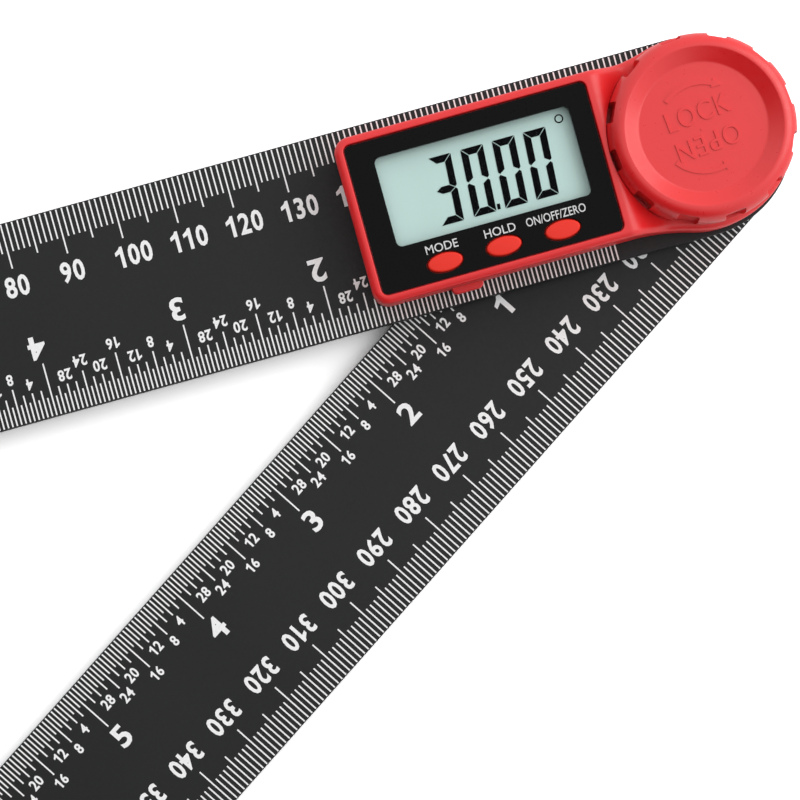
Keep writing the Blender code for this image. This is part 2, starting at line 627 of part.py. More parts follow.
def cut_housing_openings(housing):
    panel = rounded_box(PANEL_LEFT, PANEL_RIGHT, -PANEL_HALF_WIDTH, PANEL_HALF_WIDTH,
                        PANEL_CORNER_RADIUS)
    above = BLOCK_TOP + CUT_OVERRUN
    combine(housing, tiered(panel, ((0, ROOF_TOP), (0, BLOCK_TOP - RIM_CHAMFER / 2),
                                    (-RIM_CHAMFER / 2, BLOCK_TOP), (-RIM_CHAMFER / 2, above))))
    combine(housing, prism(display_outline(-SEAT_GAP), CONTACT_TOP, above))
    for x, y in button_places():
        flange = ellipse(x, y, BUTTON_LENGTH + 2 * (BUTTON_FLANGE + SEAT_GAP),
                         BUTTON_WIDTH + 2 * (BUTTON_FLANGE + SEAT_GAP))
        floor = PANEL_BOTTOM - SEAT_GAP - BUTTON_FLANGE_HEIGHT - BUTTON_TRAVEL - BUTTON_STOP_GAP
        combine(housing, prism(flange, floor, above))
        combine(housing, cylinder(PLUNGER_RADIUS + SEAT_GAP, ROOF_UNDERSIDE - CUT_OVERRUN, above,
                                  SMALL_SIDES, None, x, y))
    combine(housing, box(TRAY_LEFT - BAY_RIB_GAP, TRAY_RIGHT + BAY_RIB_GAP,
                         -HALF_WIDTH - CUT_OVERRUN, -INNER_HALF_WIDTH + CUT_OVERRUN / 2,
                         BASE - CUT_OVERRUN, CELL_TOP + SEAT_GAP))
    combine(housing, cylinder(KNOB_POCKET_RADIUS, HEAD_TOP + KNOB_POCKET_STEP, above, FINE_SIDES))
    combine(housing, flatted_rod(STUD_RADIUS + SEAT_GAP, STUD_FLAT + SEAT_GAP,
                                 HEAD_UNDERSIDE - CUT_OVERRUN, HEAD_TOP + CUT_OVERRUN))
    pilots = bmesh.new()
    tip = FRONT_ARM_BACK + SCREW_HEAD_SUNK + SCREW_HEAD_HEIGHT + SCREW_REACH + SEAT_GAP
    for x, y in housing_screw_places():
        cylinder(SCREW_SHANK_RADIUS + SEAT_GAP, BASE - CUT_OVERRUN, tip, SMALL_SIDES, pilots, x, y)
    board_tip = BOARD_TOP + BOARD_SCREW_REACH + SEAT_GAP
    cylinder(BOARD_SCREW_SHANK + SEAT_GAP, BOARD_TOP, board_tip, SMALL_SIDES, pilots,
             BOARD_SCREW_X, BUTTON_Y)
    stator_tip = STATOR_TOP + STATOR_SCREW_REACH + SEAT_GAP
    for x, y in stator_screw_places():
        cylinder(STATOR_SCREW_SHANK + SEAT_GAP, STATOR_TOP, stator_tip, SMALL_SIDES, pilots, x, y)
    combine(housing, pilots)


def display_outline(inset):
    """The display glass and the lens reach past the window by the same margin on every side."""
    margin = DISPLAY_MARGIN - inset
    return rounded_box(WINDOW_LEFT - margin, WINDOW_RIGHT + margin, WINDOW_BOTTOM - margin,
                       WINDOW_TOP + margin, WINDOW_CORNER_RADIUS)


def build_faceplate(material):
    outline = rounded_box(PANEL_LEFT + PANEL_GAP, PANEL_RIGHT - PANEL_GAP,
                          PANEL_GAP - PANEL_HALF_WIDTH, PANEL_HALF_WIDTH - PANEL_GAP,
                          PANEL_CORNER_RADIUS - PANEL_GAP)
    plate = make_object("faceplate", prism(outline, PANEL_BOTTOM, PANEL_TOP), material)
    below, above = PANEL_BOTTOM - CUT_OVERRUN, PANEL_TOP + CUT_OVERRUN
    window = rounded_box(WINDOW_LEFT, WINDOW_RIGHT, WINDOW_BOTTOM, WINDOW_TOP, WINDOW_CORNER_RADIUS)
    combine(plate, prism(window, below, above))
    for x, y in button_places():
        hole = ellipse(x, y, BUTTON_LENGTH + 2 * PANEL_GAP, BUTTON_WIDTH + 2 * PANEL_GAP)
        combine(plate, prism(hole, below, above))
    return finish(plate)


def build_display(materials):
    lens = make_object("display_lens", prism(display_outline(0), LENS_BOTTOM,
                                             LENS_BOTTOM + LENS_THICKNESS), materials["lens"])
    glass = make_object("lcd_panel", prism(display_outline(0), DISPLAY_BOTTOM, DISPLAY_TOP),
                        materials["lcd"])
    high = WINDOW_TOP + DISPLAY_MARGIN - CONTACT_STRIP_INSET
    left = WINDOW_LEFT + CONTACT_STRIP_END
    strip = make_object("contact_strip", box(left, LINK_X - CONTACT_STRIP_END, high -
                                             CONTACT_STRIP_WIDTH, high, BOARD_TOP + SEAT_GAP,
                                             CONTACT_TOP), materials["rubber"])
    for piece in (lens, glass, strip):
        finish(piece)


def build_button(name, x, y, material):
    """An oval cap, a flange that the front panel holds down, and a plunger over the dome."""
    carrier = make_empty(name + "_slide", (x, y, PANEL_TOP))
    flange_top = PANEL_BOTTOM - SEAT_GAP - PANEL_TOP
    flange_bottom = flange_top - BUTTON_FLANGE_HEIGHT
    tip = DOME_TOP + BUTTON_TRAVEL + BUTTON_STOP_GAP - PANEL_TOP
    cap_bottom = flange_top - BUTTON_FLANGE_HEIGHT / 2
    cap = tiered(ellipse(0, 0, BUTTON_LENGTH, BUTTON_WIDTH), ((0, cap_bottom),)
                 + rounded_top(BUTTON_EDGE, BUTTON_PROUD, EDGE_STEPS))
    button = make_object(name, cap, material)
    flange = ellipse(0, 0, BUTTON_LENGTH + 2 * BUTTON_FLANGE, BUTTON_WIDTH + 2 * BUTTON_FLANGE)
    combine(button, prism(flange, flange_bottom, flange_top), "UNION")
    combine(button, cylinder(PLUNGER_RADIUS, tip, cap_bottom, SMALL_SIDES), "UNION")
    return finish(button, carrier)


def build_board(material):
    """A board with its corners cut away round the screw bosses, and a slot over the cell."""
    places = housing_screw_places()
    spare = BOSS_RADIUS + SEAT_GAP
    narrow = places[0][1] + spare
    wide = -INNER_HALF_WIDTH + SEAT_GAP
    ends = (INNER_LEFT + SEAT_GAP, places[0][0] + spare, places[1][0] - spare,
            PANEL_RIGHT - HOUSING_WALL / 2 - SEAT_GAP)
    half = [(ends[0], narrow), (ends[1], narrow), (ends[1], wide), (ends[2], wide),
            (ends[2], narrow), (ends[3], narrow)]
    points = half + [(x, -y) for x, y in reversed(half)]
    board = make_object("main_board", prism(lambda inset: points, BOARD_BOTTOM, BOARD_TOP), material)
    slot = LEAF_SPAN + LEAF_SLOT_SPARE
    slot_half_width = LEAF_WIDTH / 2 + LEAF_SLOT_SPARE
    below, above = BOARD_BOTTOM - CUT_OVERRUN, BOARD_TOP + CUT_OVERRUN
    openings = box(TRAY_X - slot, TRAY_X + slot, -slot_half_width, slot_half_width, below, above)
    cylinder(BOARD_SCREW_SHANK + SEAT_GAP, below, above, SMALL_SIDES, openings,
             BOARD_SCREW_X, BUTTON_Y)
    combine(board, openings)
    return finish(board)


def build_electronics(materials):
    for number, (x, y) in enumerate(button_places(), 1):
        edge = DOME_HEIGHT / 2
        low = BOARD_TOP + SEAT_GAP
        dome = turned(((0, low), (DOME_RADIUS, low), (DOME_RADIUS - edge, low + edge),
                       (PLUNGER_RADIUS, DOME_TOP), (0, DOME_TOP)), SMALL_SIDES)
        finish(make_object("switch_dome_%d" % number, dome, materials["spring"]), None, (x, y, 0))

    chip_x = LINK_X - LINK_WIDTH - CHIP_SPACING
    chip_top = BOARD_BOTTOM - SEAT_GAP
    chip = turned(((0, chip_top - CHIP_HEIGHT), (CHIP_RADIUS / 2, chip_top - CHIP_HEIGHT),
                   (CHIP_RADIUS - CHIP_HEIGHT, chip_top - CHIP_HEIGHT / 2), (CHIP_RADIUS, chip_top),
                   (0, chip_top)), SMALL_SIDES)
    finish(make_object("chip", chip, materials["epoxy"]), None, (chip_x, 0, 0))

    link = box(LINK_X - LINK_WIDTH / 2, LINK_X + LINK_WIDTH / 2, -LINK_LENGTH / 2, LINK_LENGTH / 2,
               STATOR_TOP + SEAT_GAP, BOARD_BOTTOM - SEAT_GAP)
    finish(make_object("board_link", link, materials["epoxy"]))

    start = BOARD_BOTTOM - SEAT_GAP - BOARD_SCREW_HEAD_HEIGHT
    reach = SEAT_GAP + BOARD_THICKNESS + BOARD_SCREW_REACH
    screw = turned(screw_profile(BOARD_SCREW_HEAD, BOARD_SCREW_HEAD_HEIGHT, BOARD_SCREW_SHANK,
                                 start, reach), SMALL_SIDES)
    finish(make_object("board_screw", screw, materials["steel"]), None, (BOARD_SCREW_X, BUTTON_Y, 0))


def leaf_profile():
    """Half of the dipped spring leaf, from its middle out to the foot that lies on the board."""
    low = CELL_TOP + SEAT_GAP
    foot = BOARD_TOP + SEAT_GAP
    flat = LEAF_SPAN - LEAF_BEND
    lower = [(0, low), (flat, low), (LEAF_SPAN, foot), (LEAF_SPAN + LEAF_FOOT, foot)]
    upper = [(LEAF_SPAN + LEAF_FOOT, foot + LEAF_THICKNESS),
             (LEAF_SPAN - LEAF_THICKNESS, foot + LEAF_THICKNESS),
             (flat - LEAF_THICKNESS, low + LEAF_THICKNESS), (0, low + LEAF_THICKNESS)]
    return lower, upper


def build_contacts(material):
    """The minus leaf dips through the board onto the cell, and the plus leaf stands at its side."""
    lower, upper = leaf_profile()
    points = [(-x, z) for x, z in reversed(lower[1:])] + lower + upper
    points += [(-x, z) for x, z in reversed(upper[:-1])]
    bm = bmesh.new()
    face = bm.faces.new([bm.verts.new((x, -LEAF_WIDTH / 2, z)) for x, z in points])
    grown = bmesh.ops.extrude_face_region(bm, geom=[face], use_keep_orig=True)
    moved = [item for item in grown["geom"] if isinstance(item, bmesh.types.BMVert)]
    bmesh.ops.translate(bm, verts=moved, vec=(0, LEAF_WIDTH, 0))
    finish(make_object("battery_contact_minus", bm, material), None, (TRAY_X, 0, 0))

    near = CELL_DIAMETER / 2 + SEAT_GAP
    top = BOARD_BOTTOM - SEAT_GAP
    half = SIDE_LEAF_WIDTH / 2
    side = make_object("battery_contact_plus",
                       box(-half, half, near, near + SIDE_LEAF_THICKNESS, top - SIDE_LEAF_HEIGHT,
                           top), material)
    combine(side, box(-half, half, near + SIDE_LEAF_THICKNESS / 2, INNER_HALF_WIDTH - SEAT_GAP,
                      top - SIDE_LEAF_THICKNESS, top), "UNION")
    finish(side, None, (TRAY_X, 0, 0))


def build_encoder(materials, carrier):
    rotor = make_object("encoder_rotor", ring(HUB_SPIGOT_RADIUS + SEAT_GAP, ROTOR_RADIUS,
                                              ROTOR_BOTTOM, ROTOR_TOP), materials["board"])
    finish(rotor, carrier)

    stator = make_object("encoder_stator", cylinder(STATOR_RADIUS, STATOR_BOTTOM, STATOR_TOP),
                         materials["board"])
    combine(stator, box(LINK_X - LINK_WIDTH, -STATOR_BORE_RADIUS, -LINK_LENGTH / 2,
                        LINK_LENGTH / 2, STATOR_BOTTOM, STATOR_TOP), "UNION")
    below, above = STATOR_BOTTOM - CUT_OVERRUN, STATOR_TOP + CUT_OVERRUN
    holes = cylinder(STATOR_BORE_RADIUS, below, above)
    for x, y in stator_screw_places():
        cylinder(STATOR_SCREW_SHANK + SEAT_GAP, below, above, SMALL_SIDES, holes, x, y)
    combine(stator, holes)
    finish(stator)

    start = STATOR_BOTTOM - SEAT_GAP - STATOR_SCREW_HEAD_HEIGHT
    reach = SEAT_GAP + STATOR_THICKNESS + STATOR_SCREW_REACH
    profile = screw_profile(STATOR_SCREW_HEAD, STATOR_SCREW_HEAD_HEIGHT, STATOR_SCREW_SHANK,
                            start, reach)
    for number, (x, y) in enumerate(stator_screw_places(), 1):
        screw = make_object("stator_screw_%d" % number, turned(profile, SMALL_SIDES),
                            materials["steel"])
        finish(screw, None, (x, y, 0))


def build_arm_washer(material):
    washer = ring(ARM_BORE_RADIUS, ARM_BORE_RADIUS + ARM_WASHER_WIDTH, FRONT_ARM_BACK,
                  FRONT_ARM_BACK + ARM_WASHER_THICKNESS)
    return finish(make_object("arm_washer", washer, material))


def build_screws(material, carrier):
    profile = screw_profile(SCREW_HEAD_RADIUS, SCREW_HEAD_HEIGHT, SCREW_SHANK_RADIUS,
                            FRONT_ARM_BACK + SCREW_HEAD_SUNK, SCREW_REACH)
    for number, (x, y) in enumerate(housing_screw_places(), 1):
        screw = make_object("housing_screw_%d" % number, turned(profile, SMALL_SIDES), material)
        finish(screw, None, (x, y, 0))
    profile = screw_profile(HUB_SCREW_HEAD, HUB_SCREW_HEAD_HEIGHT, HUB_SCREW_SHANK, 0,
                            HUB_SCREW_REACH)
    for number, (x, y) in enumerate(hub_screw_places(), 1):
        screw = make_object("hub_screw_%d" % number, turned(profile, SMALL_SIDES), material)
        finish(screw, carrier, (x, y, 0))


def build_tray(materials):
    """The tray and its cell slide out through the housing's side; a tab gives a nail its hold."""
    carrier = make_empty("battery_tray_slide", (TRAY_X, 0, BASE))
    front = -HALF_WIDTH
    back = CELL_DIAMETER / 2 - TRAY_END_SET_BACK
    height = CELL_TOP - BASE
    tray = make_object("battery_tray", box(-TRAY_HALF_WIDTH, TRAY_HALF_WIDTH, front, back, 0,
                                           height), materials["red"])
    tab = rounded_box(-TAB_WIDTH / 2, TAB_WIDTH / 2, front - TAB_REACH, front + TAB_END_RADIUS,
                      TAB_END_RADIUS)
    combine(tray, prism(tab, 0, TAB_HEIGHT), "UNION")
    combine(tray, cylinder(CELL_DIAMETER / 2 + SEAT_GAP, TRAY_FLOOR, height + CUT_OVERRUN,
                           FINE_SIDES))
    finish(tray, carrier)

    low, high = CELL_BOTTOM - BASE, CELL_TOP - BASE
    rim = CELL_DIAMETER / 2
    shoulder = high - CELL_CAP_HEIGHT
    cell = turned(((0, low), (rim - CELL_EDGE, low), (rim, low + CELL_EDGE),
                   (rim, shoulder - CELL_EDGE), (rim - CELL_EDGE, shoulder),
                   (rim - CELL_CAP_STEP, shoulder), (rim - CELL_CAP_STEP - CELL_EDGE, high),
                   (0, high)), FINE_SIDES // 2)
    finish(make_object("coin_cell", cell, materials["cell"]), carrier)


def knob_profile():
    """From under the boss, out to the skirt, over the broad shoulder and down into the dish."""
    boss = NUT_ACROSS_FLATS / math.sqrt(3) + SEAT_GAP + KNOB_BOSS_WALL
    inner = KNOB_RADIUS - KNOB_WALL
    cavity_top = DISC_TOP - KNOB_ROOF
    rim = KNOB_RADIUS - DISH_RIM_SET_BACK
    quarter = math.pi / 2
    crest = rim + KNOB_LIP_RADIUS
    angles = [quarter * step / ARC_STEPS for step in range(ARC_STEPS)]
    shoulder = [(crest + (KNOB_RADIUS - crest) * math.cos(angle),
                 KNOB_TOP + KNOB_SHOULDER_HEIGHT * (math.sin(angle) - 1)) for angle in angles]
    lip = arc(crest, KNOB_TOP - KNOB_LIP_RADIUS, KNOB_LIP_RADIUS, quarter, 2 * quarter, EDGE_STEPS)
    skirt = [(0, NUT_BOTTOM), (boss, NUT_BOTTOM), (boss, cavity_top), (inner, cavity_top),
             (inner, KNOB_BOTTOM), (KNOB_RADIUS - KNOB_DRAFT, KNOB_BOTTOM),
             (KNOB_RADIUS, KNOB_BOTTOM + KNOB_DRAFT_HEIGHT)]
    disc = rim - DISH_SLOPE_WIDTH
    dish = [(disc + DISH_SLOPE_WIDTH / 4, DISC_TOP + DISH_DEPTH / 8), (disc, DISC_TOP),
            (0, DISC_TOP)]
    return skirt + shoulder + lip + dish


def build_knob(materials, carrier):
    knob = make_object("lock_knob", turned(knob_profile(), FINE_SIDES), materials["red"])
    notches = bmesh.new()
    for number in range(NOTCH_COUNT):
        notch = box(KNOB_RADIUS - NOTCH_DEPTH, KNOB_RADIUS + CUT_OVERRUN, -NOTCH_WIDTH / 2,
                    NOTCH_WIDTH / 2, KNOB_BOTTOM - CUT_OVERRUN, KNOB_TOP + CUT_OVERRUN)
        bmesh.ops.rotate(notch, verts=notch.verts, cent=(0, 0, 0),
                         matrix=Matrix.Rotation(math.tau * number / NOTCH_COUNT, 3, "Z"))
        scratch = bpy.data.meshes.new("notch")
        notch.to_mesh(scratch)
        notch.free()
        notches.from_mesh(scratch)
        bpy.data.meshes.remove(scratch)
    combine(knob, notches)
    corner = NUT_ACROSS_FLATS / math.sqrt(3)
    pocket = corner + SEAT_GAP * 2 / math.sqrt(3)
    combine(knob, cylinder(pocket, NUT_BOTTOM - CUT_OVERRUN, NUT_TOP + SEAT_GAP, HEX_SIDES))
    finish(knob, carrier)

    nut = make_object("knob_nut", cylinder(corner, NUT_BOTTOM, NUT_TOP, HEX_SIDES),
                      materials["brass"])
    combine(nut, cylinder(STUD_RADIUS + SEAT_GAP, NUT_BOTTOM - CUT_OVERRUN, NUT_TOP + CUT_OVERRUN))
    finish(nut, carrier)


def build_thrust_washer(material, carrier):
    washer = ring(STUD_RADIUS + SEAT_GAP, THRUST_WASHER_RADIUS, WASHER_BOTTOM, WASHER_TOP)
    return finish(make_object("thrust_washer", washer, material), carrier)


def make_materials():
    return {
        "arm": make_material("arm_black", (0.031, 0.031, 0.033), 0.55),
        "red": make_material("moulded_red", (0.60, 0.045, 0.050), 0.35),
        "button": make_material("button_red", (0.76, 0.050, 0.040), 0.40),
        "panel": make_material("panel_black", (0.010, 0.010, 0.011), 0.25),
        "lens": make_material("clear_lens", (0.95, 0.97, 0.97), 0.05, 0.0, 0.2),
        "lcd": make_material("display_glass", (0.50, 0.66, 0.63), 0.30),
        "rubber": make_material("contact_rubber", (0.05, 0.05, 0.06), 0.80),
        "board": make_material("circuit_board", (0.02, 0.14, 0.05), 0.50),
        "epoxy": make_material("black_epoxy", (0.01, 0.01, 0.01), 0.60),
        "spring": make_material("spring_steel", (0.62, 0.60, 0.55), 0.30, 1.0),
        "steel": make_material("screw_steel", (0.50, 0.50, 0.52), 0.35, 1.0),
        "cell": make_material("cell_steel", (0.70, 0.70, 0.72), 0.25, 1.0),
        "brass": make_material("nut_brass", (0.72, 0.55, 0.25), 0.35, 1.0),
        "washer": make_material("washer_nylon", (0.75, 0.75, 0.72), 0.50),
    }


def main():
    clear_scene()
    materials = make_materials()
    arm_pivot = make_empty("rear_arm_pivot", turn=ARMS_ANGLE)
    knob_lift = make_empty("knob_lift")
    knob_axis = make_empty("knob_axis", turn=KNOB_TURN)
    knob_axis.parent = knob_lift

    build_front_arm(materials["arm"])
    build_rear_arm(materials["arm"], arm_pivot)
    build_pivot_hub(materials["steel"], arm_pivot)
    build_pivot_stud(materials["steel"])
    build_arm_washer(materials["washer"])
    build_screws(materials["steel"], arm_pivot)
    build_housing(materials["red"])
    build_faceplate(materials["panel"])
    build_display(materials)
    for name, (x, y) in zip(BUTTON_NAMES, button_places()):
        build_button(name, x, y, materials["button"])
    build_board(materials["board"])
    build_electronics(materials)
    build_contacts(materials["spring"])
    build_encoder(materials, arm_pivot)
    build_tray(materials)
    build_thrust_washer(materials["steel"], knob_lift)
    build_knob(materials, knob_axis)


main()
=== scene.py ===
"""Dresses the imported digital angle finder: finishes, printed scales, display, and the finer pieces.

It is laid out as a Blender add-on and run as a script. Everything is in metres, in the frame of the
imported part: the pivot's axis is +Z, the front arm lies along -X, and z = 0 is the rear arm's back.
"""

import math

import bmesh
import bpy
from bpy.props import FloatProperty, FloatVectorProperty, IntProperty, PointerProperty
from mathutils import Matrix, Vector


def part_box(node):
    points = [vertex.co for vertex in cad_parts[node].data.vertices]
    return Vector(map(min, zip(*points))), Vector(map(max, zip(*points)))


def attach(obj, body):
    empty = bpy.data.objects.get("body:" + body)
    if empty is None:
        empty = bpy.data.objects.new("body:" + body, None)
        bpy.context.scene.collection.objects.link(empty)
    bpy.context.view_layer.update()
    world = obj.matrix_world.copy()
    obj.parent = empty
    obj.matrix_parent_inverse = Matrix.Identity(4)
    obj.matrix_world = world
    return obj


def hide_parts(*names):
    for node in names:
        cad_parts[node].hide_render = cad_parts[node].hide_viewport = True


bl_info = {
    "name": "Digital Angle Finder",
    "version": (1, 0, 0),
    "blender": (4, 5, 0),
    "location": "View3D > Sidebar > Angle Finder",
    "description": "Finishes, printed scales, display and fine pieces of a digital angle finder",
    "category": "Object",
}

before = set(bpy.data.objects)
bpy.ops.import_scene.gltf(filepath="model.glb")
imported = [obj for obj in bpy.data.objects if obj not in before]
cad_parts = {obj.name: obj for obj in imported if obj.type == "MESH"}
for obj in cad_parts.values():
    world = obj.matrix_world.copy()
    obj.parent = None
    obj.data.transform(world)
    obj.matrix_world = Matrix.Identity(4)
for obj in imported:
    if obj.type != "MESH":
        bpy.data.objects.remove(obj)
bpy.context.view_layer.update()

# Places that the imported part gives
ARM_LOW, ARM_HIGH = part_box("front_arm")
REAR_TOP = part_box("rear_arm")[1].z
PANEL_LOW, PANEL_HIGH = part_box("faceplate")
DISPLAY_LOW, DISPLAY_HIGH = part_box("lcd_panel")
HOUSING_LOW, HOUSING_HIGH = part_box("housing")
KNOB_LOW, KNOB_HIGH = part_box("lock_knob")
NUT_LOW, NUT_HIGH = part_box("knob_nut")
STUD_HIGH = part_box("pivot_stud")[1]
CELL_LOW, CELL_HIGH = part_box("coin_cell")
TRAY_LOW, TRAY_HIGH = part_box("battery_tray")
HOUSING_SCREWS = tuple("housing_screw_%d" % number for number in range(1, 7))
HUB_SCREWS = tuple("hub_screw_%d" % number for number in range(1, 4))

MILLI = 0.001
INCH = 25.4 * MILLI
QUARTER = math.pi / 2
WELD = 0.000001
OVERRUN = 0.0010
GAP = 0.0003
BEDDING = 0.0001
ARC_STEPS = 10

# Turns between the frame and the pieces that are shown turned
ARMS_ANGLE = math.radians(33.0)
KNOB_TURN = math.radians(5.5)

# Arms and their scales
ARM_TOP = ARM_HIGH.z
ARM_HALF = ARM_HIGH.y
ARM_END = ARM_LOW.x
ARM_CHAMFER = 0.0002
ARM_CORNER = 0.0015
ARM_RUN_GAP = 0.0005
FRONT_METRIC_ZERO = -0.20045
REAR_METRIC_ZERO = 0.19925
FRONT_INCH_ZERO = -0.01815
REAR_INCH_ZERO = -0.01840
INK_LIFT = 0.00003

# Display figures
DIGIT_TOP = 0.00754
DIGIT_BOTTOM = -0.00412
DIGIT_MIDDLE = 0.00172
DIGIT_WIDTH = 0.00395
DIGIT_STROKE = 0.00121
DIGIT_GAP = 0.00009
DIGIT_RIGHT_EDGES = (-0.04197, -0.03628, -0.03073, -0.02526)
DIGIT_LEAN = math.tan(math.radians(3.6))
SEGMENTS = {"0": "abcdef", "3": "abcdg"}

# Housing
WALL = 0.0018
BLOCK_HALF = 0.0146
HEAD_RADIUS = HOUSING_HIGH.y
FLARE_RADIUS = 0.0360
BLOCK_CORNER = 0.0028
TOP_EDGE = 0.0012
RIM_EDGE = 0.0003
SLOPE_START = -0.0164
SLOPE_LENGTH = 0.0077
SLOPE_STEPS = 20
BASE = HOUSING_LOW.z
BLOCK_TOP = HOUSING_HIGH.z
HEAD_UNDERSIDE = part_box("encoder_stator")[1].z + GAP
HEAD_ROOF = 0.0022
HEAD_TOP = HEAD_UNDERSIDE + HEAD_ROOF
ROOF_TOP = PANEL_LOW.z - GAP
BLOCK_ROOF = 0.0014
ROOF_UNDERSIDE = ROOF_TOP - BLOCK_ROOF
INNER_HALF = BLOCK_HALF - WALL
INNER_LEFT = HOUSING_LOW.x + WALL
BOSS_RADIUS = 0.0019
SHANK_RADIUS = 0.0010

# Front panel and buttons
PANEL_CORNER = 0.0012
PANEL_GAP = 0.0002
WINDOW = (-0.0549, -0.0208, -0.0058, 0.0098)
WINDOW_CORNER = 0.0010
BUTTONS = (("button_mode", "mode_button"), ("button_hold", "hold_button"),
           ("button_power", "power_button"))
BUTTON_FLANGE = 0.0006

# Knob, its nut and the pivot
KNOB_RADIUS = 0.0161
KNOB_POCKET = 0.0162
SHOULDER_WIDTH = 0.0026
KNOB_CREST = KNOB_RADIUS - SHOULDER_WIDTH
SHOULDER_HEIGHT = 0.0033
DISH_DEPTH = 0.0015
DISC_TOP = KNOB_HIGH.z - DISH_DEPTH
KNOB_BOSS = 0.0096
KNOB_WEB = 0.0013
KNOB_RIM = 0.0025
DRAFT_HEIGHT = 0.0024
DISH_INSET = 0.0054
LIP_RADIUS = 0.0004
DISH_TILT = QUARTER / 3
DISH_FILLET = 0.0008
NOTCHES = 12
NOTCH_WIDTH = 0.0036
NOTCH_DEPTH = 0.0009
GRIP_EDGE = 0.00025
KNOB_WORD_HEIGHT = 0.0034
KNOB_WORD_WIDTH = 0.0111
NUT_WIDTH = 0.0130
POCKET_CORNER = (NUT_WIDTH + 2 * GAP) / math.sqrt(3)
RAISED = 0.00018
ARROW_RADIUS = 0.0075
ARROW_WIDTH = 0.0008
STUD_RADIUS = 0.0040
STUD_FLAT = 0.0032
STUD_HEAD = 0.0016
STUD_NECK = 0.0087
THREAD_PITCH = 0.00125
HUB_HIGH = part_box("pivot_hub")[1]
HUB_FLANGE = 0.0012
HUB_SLEEVE = 0.0090
HUB_SPIGOT = 0.0062
HUB_SHOULDER = 0.0066
HUB_PILOT = 0.0011
SCREW_HEAD = 0.0011


# Shapes

def weld(bm):
    bmesh.ops.remove_doubles(bm, verts=bm.verts, dist=WELD)
    bmesh.ops.recalc_face_normals(bm, faces=bm.faces)
    return bm


def box(bm, low, high):
    """Adds a box between two corners."""
    low, high = Vector(low), Vector(high)
    place = Matrix.Translation((low + high) / 2) @ Matrix.Diagonal((*(high - low), 1))
    bmesh.ops.create_cube(bm, size=1, matrix=place)
    return bm


def spun(profile, sides, x=0, y=0):
    """Spins (radius, level) points round an upright axis; one that starts off it is a ring."""
    bm = bmesh.new()
    verts = [bm.verts.new((radius, 0, level)) for radius, level in profile]
    edges = [bm.edges.new(pair) for pair in zip(verts, verts[1:])]
    if profile[0][0] > 0:
        edges.append(bm.edges.new((verts[-1], verts[0])))
    bmesh.ops.spin(bm, geom=verts + edges, axis=(0, 0, 1), cent=(0, 0, 0), angle=math.tau,
                   steps=sides, use_merge=True)
    bmesh.ops.translate(bm, verts=bm.verts, vec=(x, y, 0))
    return weld(bm)


def drum(radius, low, high, sides=48, x=0, y=0):
    return spun(((0, low), (radius, low), (radius, high), (0, high)), sides, x, y)


def arc(x, level, across, up, start, end, steps):
    """Points of an arc, or of part of an ellipse, for a profile."""
    turns = [start + (end - start) * step / steps for step in range(steps + 1)]
    return [(x + across * math.cos(turn), level + up * math.sin(turn)) for turn in turns]


class Path:
    """An outline drawn by moving and spinning its last point, and closed to a plate."""

    def __init__(self, x, y, level):
        self.bm = bmesh.new()
        self.last = self.bm.verts.new((x, y, level))

    def to(self, x, y):
        self.last = bmesh.ops.extrude_vert_indiv(self.bm, verts=[self.last])["verts"][0]
        self.last.co.xy = x, y
        return self

    def round(self, x, y, angle, steps=ARC_STEPS):
        grown = bmesh.ops.spin(self.bm, geom=[self.last], axis=(0, 0, 1), angle=angle,
                               cent=(x, y, self.last.co.z), steps=steps)
        self.last = next(item for item in grown["geom_last"]
                         if isinstance(item, bmesh.types.BMVert))
        return self

    def plate(self, top):
        """Closes the outline, and raises it to the level."""
        bmesh.ops.remove_doubles(self.bm, verts=self.bm.verts, dist=WELD)
        bmesh.ops.contextual_create(self.bm, geom=self.bm.edges)
        return raised(self.bm, top - self.last.co.z)


def raised(bm, height):
    """Extrudes every face upwards."""
    grown = bmesh.ops.extrude_face_region(bm, geom=bm.faces[:], use_keep_orig=True)
    moved = [item for item in grown["geom"] if isinstance(item, bmesh.types.BMVert)]
    bmesh.ops.translate(bm, verts=moved, vec=(0, 0, height))
    bmesh.ops.recalc_face_normals(bm, faces=bm.faces)
    return bm


def rounded_plate(left, right, low, high, corner, bottom, top, steps=ARC_STEPS):
    """A plate with round corners."""
    path = Path(right, high - corner, bottom)
    path.round(right - corner, high - corner, QUARTER, steps).to(left + corner, high)
    path.round(left + corner, high - corner, QUARTER, steps).to(left, low + corner)
    path.round(left + corner, low + corner, QUARTER, steps).to(right - corner, low)
    return path.round(right - corner, low + corner, QUARTER, steps).plate(top)


def oval(low, high, bottom, top, sides=72):
    """An oval plate that fills a rectangle."""
    bm = drum(1, 0, 1, sides)
    half, middle = (high - low) / 2, (high + low) / 2
    bmesh.ops.scale(bm, verts=bm.verts, vec=(half.x, half.y, top - bottom))
    bmesh.ops.translate(bm, verts=bm.verts, vec=(middle.x, middle.y, bottom))
    return bm


def bevelled(bm, chosen, radius, segments=3):
    """Rounds the edges that the test picks."""
    edges = [edge for edge in bm.edges if chosen(edge)]
    bmesh.ops.bevel(bm, geom=edges, offset=radius, offset_type="OFFSET", segments=segments,
                    profile=0.5, affect="EDGES", clamp_overlap=True, material=-1)
    return bm


def sharp_at(level, least=QUARTER / 3):
    """Tests whether an edge lies at a level and turns a corner."""
    def test(edge):
        return (all(abs(vert.co.z - level) < WELD * 10 for vert in edge.verts)
                and edge.calc_face_angle(0) > least)
    return test


def turned(bm, angle, x=0, y=0, z=0):
    """Turns everything round Z and then moves it."""
    bmesh.ops.rotate(bm, verts=bm.verts, cent=(0, 0, 0), matrix=Matrix.Rotation(angle, 3, "Z"))
    bmesh.ops.translate(bm, verts=bm.verts, vec=(x, y, z))
    return bm


